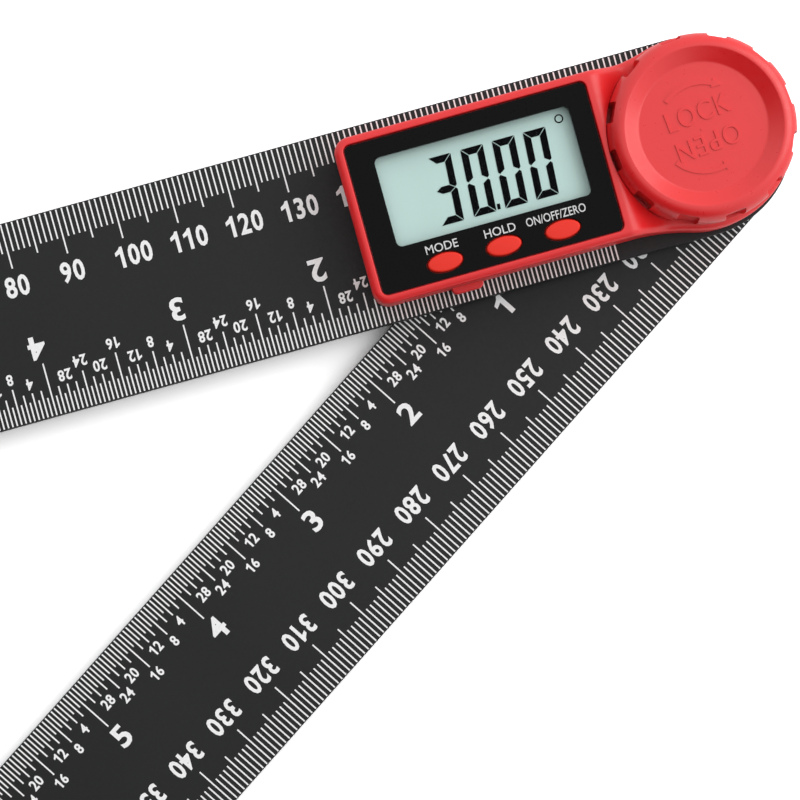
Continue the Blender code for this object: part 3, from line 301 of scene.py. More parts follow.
def add(bm, other, matrix=None):
    """Adds another bmesh's shapes, placed by the matrix, and frees it."""
    if matrix:
        bmesh.ops.transform(other, matrix=matrix, verts=other.verts)
    scratch = bpy.data.meshes.new("scratch")
    other.to_mesh(scratch)
    other.free()
    bm.from_mesh(scratch)
    bpy.data.meshes.remove(scratch)
    return bm


def screw_thread(radius, depth, pitch, low, high, steps=24):
    """A ridge that climbs round an upright rod."""
    bm = bmesh.new()
    half = pitch * 0.42
    corners = [bm.verts.new((radius + out, 0, low + up))
               for out, up in ((-depth, -half), (depth, 0), (-depth, half))]
    face = bm.faces.new(corners)
    turns = (high - low) / pitch
    total = math.ceil(turns * steps)
    bmesh.ops.spin(bm, geom=[face], axis=(0, 0, 1), cent=(0, 0, 0), angle=turns * math.tau,
                   steps=total, dvec=(0, 0, (high - low) / total))
    bmesh.ops.recalc_face_normals(bm, faces=bm.faces)
    return bm


def piece(name, bm, material, body, smooth=30.0):
    """Makes the finished object at the origin, and hangs it on its body."""
    mesh = bpy.data.meshes.new(name)
    bm.to_mesh(mesh)
    bm.free()
    mesh.materials.append(material)
    obj = bpy.data.objects.new(name, mesh)
    bpy.context.scene.collection.objects.link(obj)
    shaded(obj, smooth)
    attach(obj, body)
    return obj


def shaded(obj, smooth=30.0):
    obj.data.shade_smooth()
    obj.data.set_sharp_from_angle(angle=math.radians(smooth))


def settled(obj, *nodes):
    """Lets a finished piece stand for packed ones; its larger faces set the shading."""
    shaded(obj)
    normals = obj.modifiers.new("normals", "WEIGHTED_NORMAL")
    normals.keep_sharp = True
    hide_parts(*nodes)


def combined(obj, bm, operation="DIFFERENCE", crossed=False):
    """Applies a Boolean with the tool to the object, whose own faces may cross."""
    mesh = bpy.data.meshes.new("tool")
    bmesh.ops.recalc_face_normals(bm, faces=bm.faces)
    bm.to_mesh(mesh)
    bm.free()
    tool = bpy.data.objects.new("tool", mesh)
    bpy.context.scene.collection.objects.link(tool)
    modifier = obj.modifiers.new("combine", "BOOLEAN")
    modifier.operation, modifier.solver, modifier.object = operation, "EXACT", tool
    modifier.use_self = crossed
    result = bpy.data.meshes.new_from_object(
        obj.evaluated_get(bpy.context.evaluated_depsgraph_get()))
    obj.modifiers.clear()
    bpy.data.objects.remove(tool, do_unlink=True)
    bpy.data.meshes.remove(mesh)
    old, obj.data = obj.data, result
    result.name = old.name
    bpy.data.meshes.remove(old)


def bevel_object(obj, chosen, radius, segments=3):
    """Rounds edges of a finished object after welding what the Booleans left."""
    bm = bmesh.new()
    bm.from_mesh(obj.data)
    bmesh.ops.remove_doubles(bm, verts=bm.verts, dist=WELD)
    bmesh.ops.dissolve_degenerate(bm, edges=bm.edges, dist=WELD)
    bevelled(bm, chosen, radius, segments)
    bm.to_mesh(obj.data)
    bm.free()
    shaded(obj)


def lettering(words, height, width=None, squeeze=1.0, weight=0.0, thickness=INK_LIFT, detail=3,
              spacing=1.0):
    """Raised letters on z = 0, centred on the origin; a width sets how far they are squeezed."""
    curve = bpy.data.curves.new("words", "FONT")
    curve.body = words
    curve.offset = weight
    curve.extrude = 0.5
    curve.resolution_u = detail
    curve.space_character = spacing
    obj = bpy.data.objects.new("words", curve)
    bpy.context.scene.collection.objects.link(obj)
    mesh = bpy.data.meshes.new_from_object(
        obj.evaluated_get(bpy.context.evaluated_depsgraph_get()))
    bpy.data.objects.remove(obj, do_unlink=True)
    bpy.data.curves.remove(curve)
    bm = bmesh.new()
    bm.from_mesh(mesh)
    bpy.data.meshes.remove(mesh)
    bmesh.ops.remove_doubles(bm, verts=bm.verts, dist=WELD)
    across = [vert.co.x for vert in bm.verts]
    up = [vert.co.y for vert in bm.verts]
    bmesh.ops.translate(bm, verts=bm.verts, vec=(-(min(across) + max(across)) / 2,
                                                 -(min(up) + max(up)) / 2, 0.5))
    size = height / (max(up) - min(up))
    wide = width / (max(across) - min(across)) if width else size * squeeze
    bmesh.ops.scale(bm, verts=bm.verts, vec=(wide, size, thickness))
    bmesh.ops.recalc_face_normals(bm, faces=bm.faces)
    return uncrossed(bm)


def uncrossed(bm):
    """Takes the crossings out of a shape: a Boolean with a tool far from it tidies its faces."""
    mesh = bpy.data.meshes.new("letters")
    bm.to_mesh(mesh)
    bm.free()
    obj = bpy.data.objects.new("letters", mesh)
    bpy.context.scene.collection.objects.link(obj)
    combined(obj, box(bmesh.new(), (1, 1, 1), (2, 2, 2)), crossed=True)
    mesh = obj.data
    bpy.data.objects.remove(obj, do_unlink=True)
    clean = copied(mesh)
    bpy.data.meshes.remove(mesh)
    return clean


def copied(mesh):
    bm = bmesh.new()
    bm.from_mesh(mesh)
    return bm


def middle(node):
    """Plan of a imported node's middle."""
    low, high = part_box(node)
    return (low.x + high.x) / 2, (low.y + high.y) / 2


# Finishes

class Finish:
    """A material under construction: it adds nodes and links them."""

    def __init__(self, name):
        self.material = bpy.data.materials.new(name)
        self.material.use_nodes = True
        self.tree = self.material.node_tree
        self.shader = self.tree.nodes["Principled BSDF"]
        self.coords = self.add("ShaderNodeTexCoord").outputs["Object"]

    def add(self, kind, links=None, **values):
        node = self.tree.nodes.new(kind)
        for key, value in values.items():
            setattr(node, key, value)
        for socket, value in (links or {}).items():
            self.set(node.inputs[socket], value)
        return node

    def set(self, socket, value):
        if isinstance(value, bpy.types.NodeSocket):
            self.tree.links.new(value, socket)
        else:
            socket.default_value = value

    def noise(self, scale, detail=2.0, roughness=0.5):
        node = self.add("ShaderNodeTexNoise", {"Vector": self.coords, "Scale": scale,
                                               "Detail": detail, "Roughness": roughness})
        return node.outputs["Fac"]

    def spread(self, value, low, high, start=0.3, end=0.7):
        node = self.add("ShaderNodeMapRange", {"Value": value, "From Min": start,
                                               "From Max": end, "To Min": low, "To Max": high})
        return node.outputs["Result"]

    def mix(self, factor, first, second):
        node = self.add("ShaderNodeMix", data_type="RGBA")
        for socket, value in ((0, factor), (6, first), (7, second)):
            if isinstance(value, tuple) and len(value) == 3:
                value = (*value, 1.0)
            self.set(node.inputs[socket], value)
        return node.outputs[2]

    def math(self, operation, first, second=0.0):
        return self.add("ShaderNodeMath", {0: first, 1: second}, operation=operation).outputs[0]

    def bump(self, height, strength, distance):
        node = self.add("ShaderNodeBump", {"Height": height, "Strength": strength,
                                           "Distance": distance})
        self.set(self.shader.inputs["Normal"], node.outputs["Normal"])

    def give(self, **values):
        for key, value in values.items():
            if isinstance(value, tuple) and len(value) == 3:
                value = (*value, 1.0)
            self.set(self.shader.inputs[key.replace("_", " ")], value)
        return self.material

    def radius(self, x=0.0, y=0.0):
        """Distance from an upright axis at the given place."""
        shifted = self.add("ShaderNodeMapping", {"Vector": self.coords, "Location": (-x, -y, 0)})
        flat = self.add("ShaderNodeVectorMath", {0: shifted.outputs[0], 1: (1, 1, 0)},
                        operation="MULTIPLY")
        return self.add("ShaderNodeVectorMath", {0: flat.outputs[0]},
                        operation="LENGTH").outputs["Value"]

    def band(self, value, low, high):
        """One between two limits, zero outside them."""
        return self.math("MULTIPLY", self.math("GREATER_THAN", value, low),
                         self.math("LESS_THAN", value, high))


def shade(colour, share):
    return tuple(channel * share for channel in colour)


def moulded(name, colour, roughness, grain, specular, strength=0.12, wear=0.10):
    """Moulded plastic: fine grain, faint flow marks and a slightly uneven gloss."""
    finish = Finish(name)
    fine = finish.noise(grain, 3.0, 0.6)
    broad = finish.noise(grain / 40, 2.0, 0.5)
    finish.bump(fine, strength, 0.00002)
    return finish.give(
        Base_Color=finish.mix(finish.spread(broad, 0.0, 1.0), shade(colour, 1 - wear), colour),
        Roughness=finish.spread(fine, roughness - 0.05, roughness + 0.08),
        Specular_IOR_Level=specular)


def printed(name, colour, roughness=0.6, specular=0.2):
    """Screen-printed ink: a little uneven in cover."""
    finish = Finish(name)
    patches = finish.noise(2200.0, 3.0, 0.7)
    return finish.give(
        Base_Color=finish.mix(finish.spread(patches, 0.0, 1.0), shade(colour, 0.88), colour),
        Roughness=finish.spread(patches, roughness - 0.05, roughness + 0.1),
        Specular_IOR_Level=specular)


def metal(name, colour, roughness, scale=2500.0, centre=None, groove=None):
    """Plated metal with a fine grain, or with turning rings round an upright axis."""
    finish = Finish(name)
    if centre is None:
        lines = finish.noise(scale, 4.0, 0.7)
    else:
        rings = finish.add("ShaderNodeTexNoise", {"W": finish.radius(*centre), "Scale": scale,
                                                  "Detail": 3.0}, noise_dimensions="1D")
        lines = rings.outputs["Fac"]
    finish.bump(lines, 0.15, 0.00001)
    tone = finish.mix(finish.spread(lines, 0.0, 1.0), shade(colour, 0.82), colour)
    shine = 1.0
    if groove:
        seal = finish.band(finish.radius(*centre), *groove)
        tone = finish.mix(seal, tone, (0.03, 0.03, 0.03))
        shine = finish.math("SUBTRACT", 1.0, seal)
    return finish.give(Base_Color=tone, Metallic=shine,
                       Roughness=finish.spread(lines, roughness - 0.06, roughness + 0.12))


def display_film(name, colour):
    """The pale display with a fine grain; its ends are a touch paler than its middle: painted light
    that offsets the shade the window's walls cast there.
    """
    finish = Finish(name)
    across = finish.add("ShaderNodeSeparateXYZ", {"Vector": finish.coords}).outputs[0]
    centre = (DISPLAY_LOW.x + DISPLAY_HIGH.x) / 2
    ends = finish.math("ABSOLUTE", finish.math("SUBTRACT", across, centre))
    length = DISPLAY_HIGH.x - DISPLAY_LOW.x
    # Painted light: towards the ends the colour is mixed lighter, to offset the shade of the window's
    # walls.
    painted_end_light = finish.spread(ends, 0.0, 1.0, length / 4, length / 2)
    grain = finish.spread(finish.noise(3000.0), 0.0, 0.25)
    return finish.give(
        Base_Color=finish.mix(finish.math("MAXIMUM", painted_end_light, grain), colour, shade(colour, 1.06)),
        Roughness=0.4, Specular_IOR_Level=0.1)


def circuit(name, colour):
    """Solder mask over copper tracks, with tinned pads."""
    finish = Finish(name)
    askew = finish.add("ShaderNodeMapping", {"Vector": finish.coords,
                                             "Rotation": (0, 0, QUARTER / 2)})
    cells = finish.add("ShaderNodeTexVoronoi", {"Vector": askew.outputs[0], "Scale": 420.0},
                       distance="CHEBYCHEV", feature="F1")
    tracks = finish.math("LESS_THAN", cells.outputs["Distance"], 0.38)
    pads = finish.math("LESS_THAN", cells.outputs["Distance"], 0.07)
    mask = finish.mix(tracks, shade(colour, 0.6), colour)
    finish.bump(tracks, 0.3, 0.00002)
    return finish.give(Base_Color=finish.mix(pads, mask, (0.72, 0.70, 0.62)),
                       Roughness=finish.spread(pads, 0.45, 0.25, 0.0, 1.0), Metallic=pads)


def encoder_board(name, colour):
    """A board with a ring of gold electrodes round the pivot."""
    finish = Finish(name)
    parts = finish.add("ShaderNodeSeparateXYZ", {"Vector": finish.coords})
    angle = finish.math("ARCTAN2", parts.outputs[1], parts.outputs[0])
    bars = finish.math("GREATER_THAN", finish.math("SINE", finish.math("MULTIPLY", angle, 96.0)),
                       0.0)
    gold = finish.math("MULTIPLY", bars, finish.band(finish.radius(), 0.0078, 0.0106))
    mask = finish.mix(finish.noise(900.0), shade(colour, 0.75), colour)
    return finish.give(Base_Color=finish.mix(gold, mask, (0.83, 0.62, 0.28)), Metallic=gold,
                       Roughness=finish.spread(gold, 0.5, 0.3, 0.0, 1.0))


def striped_rubber(name, colour):
    """The strip that joins board and display: dark conducting bars in grey rubber."""
    finish = Finish(name)
    wave = finish.add("ShaderNodeTexWave", {"Vector": finish.coords, "Scale": 600.0},
                      bands_direction="X")
    bars = finish.math("GREATER_THAN", wave.outputs["Fac"], 0.5)
    return finish.give(Base_Color=finish.mix(bars, (0.35, 0.34, 0.32), colour), Roughness=0.8)


def clear_lens(name, colour):
    """A clear window: the display shows through, and the surface keeps a faint polish."""
    finish = Finish(name)
    haze = finish.noise(150.0, 2.0)
    return finish.give(Base_Color=finish.mix(haze, shade(colour, 0.9), colour), Alpha=0.012,
                       Roughness=finish.spread(haze, 0.03, 0.06), Specular_IOR_Level=0.5)


def finishes():
    """Makes each finish once, from the colours in the sidebar."""
    colours = bpy.context.scene.finder_colours
    made = bpy.data.materials
    if "moulded red" in made:
        return made
    moulded("arm black", tuple(colours.arm), 0.5, 1800.0, 0.30, 0.10, 0.15)
    moulded("moulded red", tuple(colours.body), 0.36, 900.0, 0.60, 0.04, 0.05)
    moulded("knob red", tuple(colours.body), 0.32, 900.0, 0.72, 0.02, 0.04)
    moulded("button red", tuple(colours.button), 0.45, 2500.0, 0.30, 0.12, 0.05)
    moulded("panel black", tuple(colours.panel), 0.30, 1200.0, 0.08, 0.01, 0.15)
    moulded("black epoxy", (0.010, 0.010, 0.010), 0.55, 3000.0, 0.4, 0.3, 0.3)
    moulded("washer nylon", (0.74, 0.73, 0.69), 0.5, 1200.0, 0.5, 0.1, 0.08)
    printed("print white", tuple(colours.print_white))
    printed("print grey", shade(tuple(colours.print_white), 0.75))
    printed("display ink", (0.001, 0.001, 0.002), 0.7, 0.04)
    display_film("display film", tuple(colours.display))
    clear_lens("clear lens", (0.06, 0.065, 0.065))
    circuit("circuit board", (0.015, 0.16, 0.05))
    encoder_board("encoder board", (0.02, 0.14, 0.06))
    striped_rubber("striped rubber", (0.03, 0.03, 0.035))
    metal("spring steel", (0.66, 0.63, 0.57), 0.28)
    metal("screw steel", (0.52, 0.52, 0.54), 0.35)
    metal("turned steel", (0.50, 0.50, 0.52), 0.32, 9000.0, (0.0, 0.0))
    metal("cell steel", (0.72, 0.72, 0.73), 0.25, 9000.0, middle("coin_cell"),
          (0.00855, 0.00875))
    metal("nut brass", (0.72, 0.54, 0.24), 0.33)
    return made


# Settings in the sidebar

class FinderSizes(bpy.types.PropertyGroup):
    """Sizes of the printing"""
    tick_width: FloatProperty(
        name="Scale lines", description="Width of a scale line", default=0.00026,
        min=0.0001, max=0.001, unit="LENGTH", precision=5)
    metric_height: FloatProperty(
        name="Millimetre figures", description="Height of the millimetre scale's figures",
        default=0.00375, min=0.001, max=0.006, unit="LENGTH", precision=5)
    inch_height: FloatProperty(
        name="Inch figures", description="Height of the inch scale's large figures",
        default=0.0041, min=0.001, max=0.006, unit="LENGTH", precision=5)
    fraction_height: FloatProperty(
        name="Fraction figures", description="Height of the inch scale's small figures",
        default=0.00198, min=0.001, max=0.004, unit="LENGTH", precision=5)
    facets: IntProperty(name="Facets", description="Sides of the knob", default=144, min=36)


class FinderColours(bpy.types.PropertyGroup):
    """Colours of the finishes"""
    arm: FloatVectorProperty(name="Arms", description="Colour of both arms",
                             default=(0.0115, 0.0118, 0.0125), subtype="COLOR", min=0, max=1)
    body: FloatVectorProperty(name="Housing", description="Colour of the housing and the knob",
                              default=(0.78, 0.013, 0.016), subtype="COLOR", min=0, max=1)
    button: FloatVectorProperty(name="Buttons", description="Colour of the three buttons",
                                default=(0.83, 0.028, 0.014), subtype="COLOR", min=0, max=1)
    panel: FloatVectorProperty(name="Front panel", description="Colour of the front panel",
                               default=(0.0032, 0.0032, 0.0034), subtype="COLOR", min=0, max=1)
    print_white: FloatVectorProperty(name="Printing", description="Colour of scales and words",
                                     default=(0.94, 0.94, 0.94), subtype="COLOR", min=0, max=1)
    display: FloatVectorProperty(name="Display", description="Colour of the display's ground",
                                 default=(0.535, 0.72, 0.68), subtype="COLOR", min=0, max=1)


class FinderStage(bpy.types.PropertyGroup):
    """Camera and light"""
    distance: FloatProperty(
        name="Camera distance", description="Height of the camera above the front arm",
        default=0.300, min=0.1, unit="LENGTH")
    lens: FloatProperty(name="Lens", description="Focal length in millimetres on a 36 mm sensor",
                        default=77.4, min=10, max=300, subtype="DISTANCE_CAMERA")
    key_light: FloatProperty(name="Key light", description="Power of the soft light at the side",
                             default=1.2, min=0, unit="POWER")


# Arms

def arm_plate(low, high):
    """A flat arm with a round end at the pivot, and softened edges."""
    half, corner, left = ARM_HALF, ARM_CORNER, ARM_END
    path = Path(left, corner - half, low)
    path.round(left + corner, corner - half, QUARTER).to(0, -half)
    path.round(0, 0, 2 * QUARTER, 96).to(left + corner, half)
    bm = path.round(left + corner, half - corner, QUARTER).plate(high)
    return bevelled(bm, lambda edge: sharp_at(low)(edge) or sharp_at(high)(edge), ARM_CHAMFER, 2)


class FINDER_OT_arms(bpy.types.Operator):
    """Shape both arms with their bores and screw holes"""
    bl_idname = "finder.arms"
    bl_label = "Arms"

    def execute(self, context):
        made = finishes()
        back, top = ARM_LOW.z, ARM_TOP
        recess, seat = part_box("arm_washer")[1].x + GAP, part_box("arm_washer")[1].z + GAP
        bore, below, above = HUB_SLEEVE + ARM_RUN_GAP, back - OVERRUN, top + OVERRUN
        holes = spun(((0, below), (recess, below), (recess, seat), (bore, seat), (bore, above),
                      (0, above)), 120)
        shank = SHANK_RADIUS + GAP
        for screw in HOUSING_SCREWS:
            low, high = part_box(screw)
            head, neck = (high.x - low.x) / 2 + GAP, low.z + SCREW_HEAD + GAP
            add(holes, spun(((0, below), (head, below), (head, neck), (shank, neck),
                             (shank, above), (0, above)), 32, *middle(screw)))
        obj = piece("front_arm_plate", arm_plate(back, top), made["arm black"], "front")
        combined(obj, holes)
        settled(obj, "front_arm")

        obj = piece("rear_arm_plate", turned(arm_plate(0, REAR_TOP), ARMS_ANGLE),
                    made["arm black"], "rear")
        flange, floor, bore = HUB_HIGH.x + GAP, HUB_FLANGE + GAP, HUB_SLEEVE + GAP
        above = REAR_TOP + OVERRUN
        combined(obj, spun(((0, -OVERRUN), (flange, -OVERRUN), (flange, floor), (bore, floor),
                            (bore, above), (0, above)), 144))
        pilots = bmesh.new()
        for screw in HUB_SCREWS:
            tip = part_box(screw)[1].z + GAP
            add(pilots, drum(HUB_PILOT, floor - OVERRUN, tip, 24, *middle(screw)))
        combined(obj, pilots)
        settled(obj, "rear_arm")
        return {"FINISHED"}


# Scales

METRIC_LENGTHS = {0: 0.0081, 5: 0.0066}
METRIC_SHORT = 0.0052
INCH_LENGTHS = {0: 0.0095, 16: 0.0080, 8: 0.0065, 24: 0.0065}
INCH_EVEN = 0.0050
INCH_ODD = 0.0035
FIGURE_DEPTHS = {0: 0.0124, 16: 0.0097, 8: 0.0082, 24: 0.0083}
FRACTION_DEPTH = 0.0066
METRIC_DEPTH = 0.0113
DIGIT_STEP = 0.0011


def metric_ticks(zero, numbers):
    """Millimetre lines, longer at each fifth and each tenth; a negative zero runs towards +X."""
    way = -math.copysign(MILLI, zero)
    return [(zero + way * number, METRIC_LENGTHS.get(number % 10, METRIC_SHORT))
            for number in numbers]


def inch_ticks(zero):
    """A line at each thirty-second of an inch, from near the pivot to the arm's free end."""
    places = []
    for number in range(int((zero - ARM_END - ARM_CHAMFER) / (INCH / 32)) + 1):
        length = INCH_LENGTHS.get(number % 32, INCH_ODD if number % 2 else INCH_EVEN)
        places.append((zero - number * INCH / 32, length))
    return places


def ticks(bm, places, side, level):
    """Adds scale lines: each has its place along the arm and its length in from the edge."""
    half = bpy.context.scene.finder_sizes.tick_width / 2
    edge = ARM_HALF - ARM_CHAMFER
    for x, length in places:
        ends = sorted((side * edge, side * (ARM_HALF - length)))
        box(bm, (x - half, ends[0], level), (x + half, ends[1], level + INK_LIFT))


def figure_one(height, width):
    """The figure 1 with its flag; its corners are shares of the height and of the width."""
    corners = ((0.14, -0.5), (0.14, 0.5), (0.02, 0.5), (-0.06, 0.385), (-0.245, 0.26),
               (-0.245, 0.09), (-0.025, 0.185), (-0.025, -0.5))
    first, *others = [(x * width, y * height) for x, y in corners]
    path = Path(*first, 0)
    for corner in others:
        path.to(*corner)
    path.to(*first)
    return path.plate(INK_LIFT)


class Figures:
    """Sets numbers digit by digit on even steps, and keeps each digit's shape."""

    def __init__(self, height, squeeze, step, weight):
        self.height, self.squeeze, self.step, self.weight = height, squeeze, step, weight
        self.digits = {}

    def digit(self, name):
        if name not in self.digits:
            shape = (figure_one(self.height, self.height * self.squeeze * 1.25) if name == "1" else
                     lettering(name, self.height, None, self.squeeze, self.weight))
            self.digits[name] = bpy.data.meshes.new("digit")
            shape.to_mesh(self.digits[name])
            shape.free()
        return copied(self.digits[name])

    def place(self, bm, number, x, y, turn, level):
        words = str(number)
        place = Matrix.Translation((x, y, level)) @ Matrix.Rotation(turn, 4, "Z")
        for order, name in enumerate(words):
            along = (order - (len(words) - 1) / 2) * self.step * self.height
            add(bm, self.digit(name), place @ Matrix.Translation((along, 0, 0)))

    def clear(self):
        for mesh in self.digits.values():
            bpy.data.meshes.remove(mesh)


def inch_figures(bm, zero, side, level):
    """Large figures at the inches, small ones at each fourth line between them."""
    sizes = bpy.context.scene.finder_sizes
    large = Figures(sizes.inch_height, 1.08, 0.66, 0.026)
    small = Figures(sizes.fraction_height, 0.88, 0.64, 0.026)
    turn = 0 if side > 0 else math.pi
    for number in range(4, int((zero - ARM_END) / (INCH / 32)), 4):
        x = zero - number * INCH / 32
        part = number % 32
        y = side * (ARM_HALF - FIGURE_DEPTHS.get(part, FRACTION_DEPTH))
        if part:
            small.place(bm, part, x, y, turn, level)
        else:
            large.place(bm, number // 32, x + side * GAP, y, turn, level)
    large.clear()
    small.clear()


def metric_figures(bm, zero, numbers, level):
    """Figures at each tenth millimetre; upright ones start left of their line."""
    figures = Figures(bpy.context.scene.finder_sizes.metric_height, 0.80, 0.607, 0.028)
    side = -math.copysign(1, zero)
    turn = 0 if side > 0 else math.pi
    for number in numbers:
        shift = DIGIT_STEP * (len(str(number)) - 2) if side > 0 else 0
        figures.place(bm, number, zero + side * number * MILLI + shift,
                      side * (ARM_HALF - METRIC_DEPTH), turn, level)
    figures.clear()


class FINDER_OT_front_scales(bpy.types.Operator):
    """Print the front arm's millimetre and inch scales"""
    bl_idname = "finder.front_scales"
    bl_label = "Front Arm Scales"

    def execute(self, context):
        made = finishes()
        lines = bmesh.new()
        ticks(lines, metric_ticks(FRONT_METRIC_ZERO, range(1, 200)), 1, ARM_TOP)
        ticks(lines, inch_ticks(FRONT_INCH_ZERO), -1, ARM_TOP)
        piece("front_scale_lines", lines, made["print white"], "front")
        words = bmesh.new()
        metric_figures(words, FRONT_METRIC_ZERO, range(10, 200, 10), ARM_TOP)
        inch_figures(words, FRONT_INCH_ZERO, -1, ARM_TOP)
        piece("front_scale_figures", words, made["print white"], "front")
        return {"FINISHED"}


class FINDER_OT_rear_scales(bpy.types.Operator):
    """Print the rear arm's inch and millimetre scales"""
    bl_idname = "finder.rear_scales"
    bl_label = "Rear Arm Scales"

    def execute(self, context):
        made = finishes()
        lines = bmesh.new()
        ticks(lines, metric_ticks(REAR_METRIC_ZERO, range(201, 399)), -1, REAR_TOP)
        ticks(lines, inch_ticks(REAR_INCH_ZERO), 1, REAR_TOP)
        piece("rear_scale_lines", turned(lines, ARMS_ANGLE), made["print white"], "rear")
        words = bmesh.new()
        metric_figures(words, REAR_METRIC_ZERO, range(210, 400, 10), REAR_TOP)
        inch_figures(words, REAR_INCH_ZERO, 1, REAR_TOP)
        piece("rear_scale_figures", turned(words, ARMS_ANGLE), made["print white"], "rear")
        return {"FINISHED"}


# Display

def segment_corners(name):
    """Corners of one mitred bar of a digit, whose left edge is at x = 0."""
    right, top, low, centre = DIGIT_WIDTH, DIGIT_TOP, DIGIT_BOTTOM, DIGIT_MIDDLE
    stroke, gap, half = DIGIT_STROKE, DIGIT_GAP, DIGIT_STROKE / 2
    inner, edge = right - stroke, stroke * 0.25
    return {
        "a": ((gap, top), (right - gap, top), (inner - gap, top - stroke),
              (stroke + gap, top - stroke)),
        "b": ((right, top - gap), (right, centre + edge + gap), (right - edge, centre + gap),
              (inner, centre + half + gap), (inner, top - stroke - gap)),
        "c": ((right, centre - edge - gap), (right, low + gap), (inner, low + stroke + gap),
              (inner, centre - half - gap), (right - edge, centre - gap)),
        "d": ((right - gap, low), (gap, low), (stroke + gap, low + stroke),
              (inner - gap, low + stroke)),
        "e": ((0, low + gap), (0, centre - edge - gap), (edge, centre - gap),
              (stroke, centre - half - gap), (stroke, low + stroke + gap)),
        "f": ((0, centre + edge + gap), (0, top - gap), (stroke, top - stroke - gap),
              (stroke, centre + half + gap), (edge, centre + gap)),
        "g": ((edge + gap, centre), (stroke + gap, centre + half), (inner - gap, centre + half),
              (right - edge - gap, centre), (inner - gap, centre - half),
              (stroke + gap, centre - half)),
    }[name]


def flat_form(corners, level, height):
    """A flat form with a few corners, raised."""
    bm = bmesh.new()
    bm.faces.new([bm.verts.new((x, y, level)) for x, y in corners])
    return raised(bm, height)


class FINDER_OT_display(bpy.types.Operator):
    """Show the angle on the display"""
    bl_idname = "finder.display"
    bl_label = "Display Figures"

    def execute(self, context):
        made = finishes()
        level = DISPLAY_HIGH.z + INK_LIFT
        bm = bmesh.new()
        lean = Matrix.Identity(4)
        lean[0][1] = DIGIT_LEAN
        for digit, edge in zip("3000", DIGIT_RIGHT_EDGES):
            place = Matrix.Translation((edge - DIGIT_WIDTH - DIGIT_LEAN * DIGIT_TOP, 0, 0))
            for name in SEGMENTS[digit]:
                add(bm, flat_form(segment_corners(name), level, INK_LIFT), place @ lean)
        point = flat_form(((-0.00030, -0.00050), (0.00024, -0.00050), (0.00030, 0.00045),
                           (-0.00024, 0.00045)), level, INK_LIFT)
        add(bm, point, Matrix.Translation((-0.03645, -0.00345, 0)))
        ring = spun(((0.00054, level), (0.00077, level), (0.00077, level + INK_LIFT),
                     (0.00054, level + INK_LIFT)), 36, -0.02265, 0.0082)
        add(bm, ring)
        piece("display_figures", bm, made["display ink"], "front")
        return {"FINISHED"}


# Front panel and its words

class FINDER_OT_front_panel(bpy.types.Operator):
    """Shape the front panel with its window, and print the words above the buttons"""
    bl_idname = "finder.front_panel"
    bl_label = "Front Panel"

    def execute(self, context):
        made = finishes()
        low, high = PANEL_LOW, PANEL_HIGH
        obj = piece("panel_sheet", rounded_plate(low.x, high.x, low.y, high.y,
                                                 PANEL_CORNER - PANEL_GAP, low.z, high.z),
                    made["panel black"], "front")
        below, above = low.z - OVERRUN, high.z + OVERRUN
        combined(obj, rounded_plate(*WINDOW, WINDOW_CORNER, below, above))
        for node, _ in BUTTONS:
            combined(obj, oval(*cap_corners(node, -PANEL_GAP), below, above))
        bevel_object(obj, sharp_at(high.z), BEDDING, 2)
        settled(obj, "faceplate")
        bm = bmesh.new()
        for words, x, width in (("MODE", -0.0477, 0.0056), ("HOLD", -0.0375, 0.00545),
                                ("ON/OFF/ZERO", -0.0277, 0.0104)):
            shape = lettering(words, 0.00148, width, 1.0, 0.005)
            add(bm, shape, Matrix.Translation((x, -0.00757, high.z)))
        piece("panel_words", bm, made["print grey"], "front")
        return {"FINISHED"}


# Buttons

def cap_corners(node, inset=0.0):
    """Plan of a button's cap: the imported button's box includes the flange under the panel."""
    low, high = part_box(node)
    step = Vector((BUTTON_FLANGE + inset, BUTTON_FLANGE + inset, 0))
    return low + step, high - step


class FINDER_OT_buttons(bpy.types.Operator):
    """Shape the three oval push buttons"""
    bl_idname = "finder.buttons"
    bl_label = "Buttons"

    def execute(self, context):
        made = finishes()
        for node, body in BUTTONS:
            low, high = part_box(node)
            flange = PANEL_LOW.z - GAP
            bm = oval(low, high, flange - 0.0005, flange, 56)
            bevelled(bm, sharp_at(flange), BEDDING, 2)
            add(bm, bevelled(oval(*cap_corners(node), flange - BEDDING, high.z, 56),
                             sharp_at(high.z), 0.0004, 5))
            add(bm, bevelled(drum(0.0011, low.z, flange - GAP, 24, *middle(node)),
                             sharp_at(low.z), 0.0002, 2))
            settled(piece(node.replace("button", "cap"), bm, made["button red"], body), node)
        return {"FINISHED"}


# Housing

def housing_plate(inset, low, high):
    """The block's straight sides run through concave flares into the round head."""
    half, head, flare = BLOCK_HALF - inset, HEAD_RADIUS - inset, FLARE_RADIUS + inset
    flare_y = BLOCK_HALF + FLARE_RADIUS
    flare_x = -math.sqrt((HEAD_RADIUS + FLARE_RADIUS) ** 2 - flare_y ** 2)
    lean = math.atan2(-flare_x, flare_y)
    corner = max(BLOCK_CORNER - inset, BLOCK_CORNER / 4)
    left = HOUSING_LOW.x + inset
    path = Path(left, corner - half, low)
    path.round(left + corner, corner - half, QUARTER).to(flare_x, -half)
    path.round(flare_x, -flare_y, -lean).round(0, 0, 2 * (QUARTER + lean), 96)
    path.round(flare_x, flare_y, -lean).to(left + corner, half)
    return path.round(left + corner, half - corner, QUARTER).plate(high)


def slope_drop(x):
    """How far the roof lies below the block's top: nothing over the display, all at the head."""
    along = min(max((x - SLOPE_START) / SLOPE_LENGTH, 0), 1)
    return (BLOCK_TOP - HEAD_TOP) * (1 - math.cos(math.pi * along)) / 2


